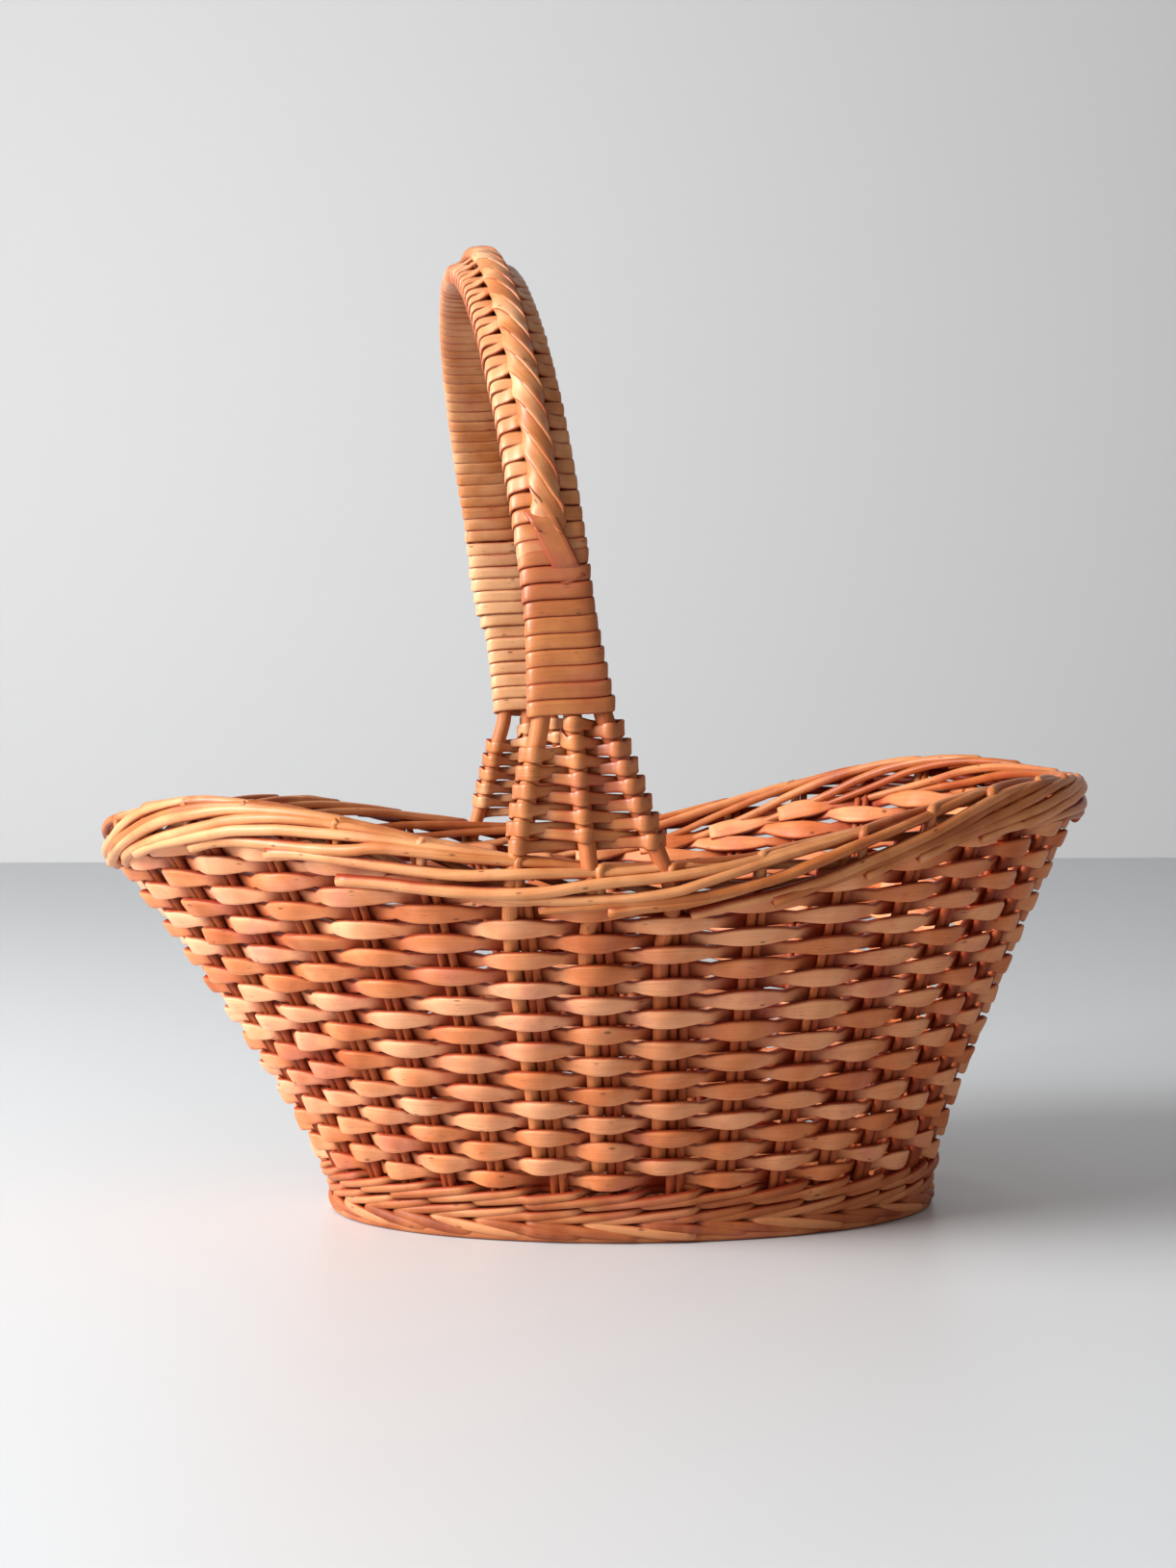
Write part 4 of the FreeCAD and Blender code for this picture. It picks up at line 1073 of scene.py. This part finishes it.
def build_short_sticks():
    rods = Rods("willow_base_sticks_short", "base_willow", SEEDS["base"])
    for number in range(SHORT_STICKS):
        x_place = short_stick_place(number)
        share = np.linspace(-1, 1, SHORT_STICK_SAMPLES)
        half = (BASE_HALF_WIDTH - EDGE_INSET) * math.sqrt(
            1 - (x_place / (BASE_HALF_LENGTH - EDGE_INSET)) ** 2)
        lean = wander(rods.random, SHORT_STICK_SAMPLES, 8, 0.3 * MM)
        path = np.stack([BASE_CENTRE_X + x_place + lean, half * share, STICK_HEIGHT + 0 * share],
                        axis=-1)
        # A light even painted shade.
        rods.add(path, UP, SHORT_STICK_RADIUS, SHORT_STICK_RADIUS, stain=0.2)
    rods.build()


def build_long_sticks():
    rods = Rods("willow_base_sticks_long", "base_willow", SEEDS["base"] + 1)
    for angle in np.radians(FAN_ANGLES):
        knots = [base_ring(inset, direction) for inset, direction in
                 ((EDGE_INSET, math.pi - angle), (SLATH_INSET, math.pi - angle),
                  (SLATH_INSET, angle), (EDGE_INSET, angle))]
        share = np.linspace(-1, 1, LONG_STICK_SAMPLES)
        size = LONG_STICK_RADIUS * (1 - 0.35 * np.abs(share) ** 3)
        # A light even painted shade.
        rods.add(smooth_path(knots, LONG_STICK_SAMPLES), UP, size, size, stain=0.2)
    rods.build()


def build_base_weave():
    outer = Rods("willow_base_weave_outer", "base_willow", SEEDS["base"] + 2)
    inner = Rods("willow_base_weave_inner", "base_willow", SEEDS["base"] + 3)
    first = EDGE_INSET + 2.1 * MM
    for number in range(ROUNDS):
        rods = inner if number >= ROUNDS // 2 else outer
        inset = first + number * (SLATH_INSET - first) / (ROUNDS - 1)
        crossings = []
        for stick in range(SHORT_STICKS):
            angle = math.acos(short_stick_place(stick) / (BASE_HALF_LENGTH - inset))
            crossings += [angle, 2 * math.pi - angle]
        for angle in np.radians(FAN_ANGLES):
            crossings += [angle % (2 * math.pi), math.pi - angle]
        crossings = np.sort(crossings)
        over = np.where((np.arange(len(crossings)) + number) % 2 == 0, 1.0, -1.0)
        knots = base_ring(inset, crossings)
        knots[:, 2] += over * ROUND_SWING
        path = smooth_path(np.concatenate([knots, knots[:1]]), ROUND_SAMPLES)
        size = ROUND_RADIUS * (1 + wander(rods.random, ROUND_SAMPLES, 30, 0.06))
        # A light even painted shade.
        rods.add(path, UP, size * 0.75, size, stain=0.2)
    inner.build()
    outer.build()


build_rows()
build_wales()
build_stakes()
build_border()
build_handle_rods()
build_handle_wraps()
build_fans()
build_short_sticks()
build_long_sticks()
build_base_weave()


# --------------------------------------------------------------------- the studio

TABLE_END = 2.2


def plain_sheet(name, corners, colour, roughness):
    material = bpy.data.materials.new(f"pale_{name}")
    material.use_nodes = True
    shader = material.node_tree.nodes["Principled BSDF"]
    shader.inputs["Base Color"].default_value = (*colour, 1)
    shader.inputs["Roughness"].default_value = roughness
    mesh = bpy.data.meshes.new(name)
    mesh.from_pydata(corners, [], [(0, 1, 2, 3)])
    mesh.materials.append(material)
    sheet = bpy.data.objects.new(name, mesh)
    bpy.context.scene.collection.objects.link(sheet)
    return sheet


def build_stage():
    table = plain_sheet("table", [(-6, -3, 0), (6, -3, 0), (6, TABLE_END, 0), (-6, TABLE_END, 0)],
                        (0.60, 0.625, 0.645), 0.42)
    wall = plain_sheet("backdrop", [(-8, TABLE_END, -1), (8, TABLE_END, -1), (8, TABLE_END, 6),
                                    (-8, TABLE_END, 6)], (0.71, 0.72, 0.735), 0.9)


def area_light(name, place, aim, size, power, colour):
    lamp = bpy.data.lights.new(name, "AREA")
    lamp.shape = "RECTANGLE"
    lamp.size, lamp.size_y = size
    lamp.energy = power
    lamp.color = colour
    item = bpy.data.objects.new(name, lamp)
    item.location = place
    item.rotation_euler = (Vector(aim) - Vector(place)).to_track_quat("-Z", "Y").to_euler()
    bpy.context.scene.collection.objects.link(item)


AIM = (0, 0, 0.15)
ROOM_COLOUR = (0.97, 0.93, 0.90, 1)
ROOM_STRENGTH = 0.30
CAMERA_PLACE = (-0.0645, -0.925, 0.203)
CAMERA_PITCH = -1.76
CAMERA_HEADING = -3.76
LENS = 51.34
SENSOR_WIDTH = 36.0


def build_light():
    area_light("window", (-1.85, -0.65, 1.05), AIM, (1.2, 1.2), 106, (1.0, 0.985, 0.97))
    area_light("fill", (0.1, -2.2, 1.2), AIM, (1.8, 1.4), 2, (1.0, 0.97, 0.94))
    world = bpy.data.worlds.new("room")
    world.use_nodes = True
    background = world.node_tree.nodes["Background"]
    background.inputs["Color"].default_value = ROOM_COLOUR
    background.inputs["Strength"].default_value = ROOM_STRENGTH
    bpy.context.scene.world = world
    bpy.context.scene.view_settings.view_transform = "Standard"


def build_camera():
    camera = bpy.data.cameras.new("camera")
    camera.sensor_width = SENSOR_WIDTH
    camera.lens = LENS
    item = bpy.data.objects.new("camera", camera)
    item.location = CAMERA_PLACE
    item.rotation_euler = (math.radians(90 + CAMERA_PITCH), 0, math.radians(CAMERA_HEADING))
    bpy.context.scene.collection.objects.link(item)
    bpy.context.scene.camera = item


build_stage()
build_light()
build_camera()
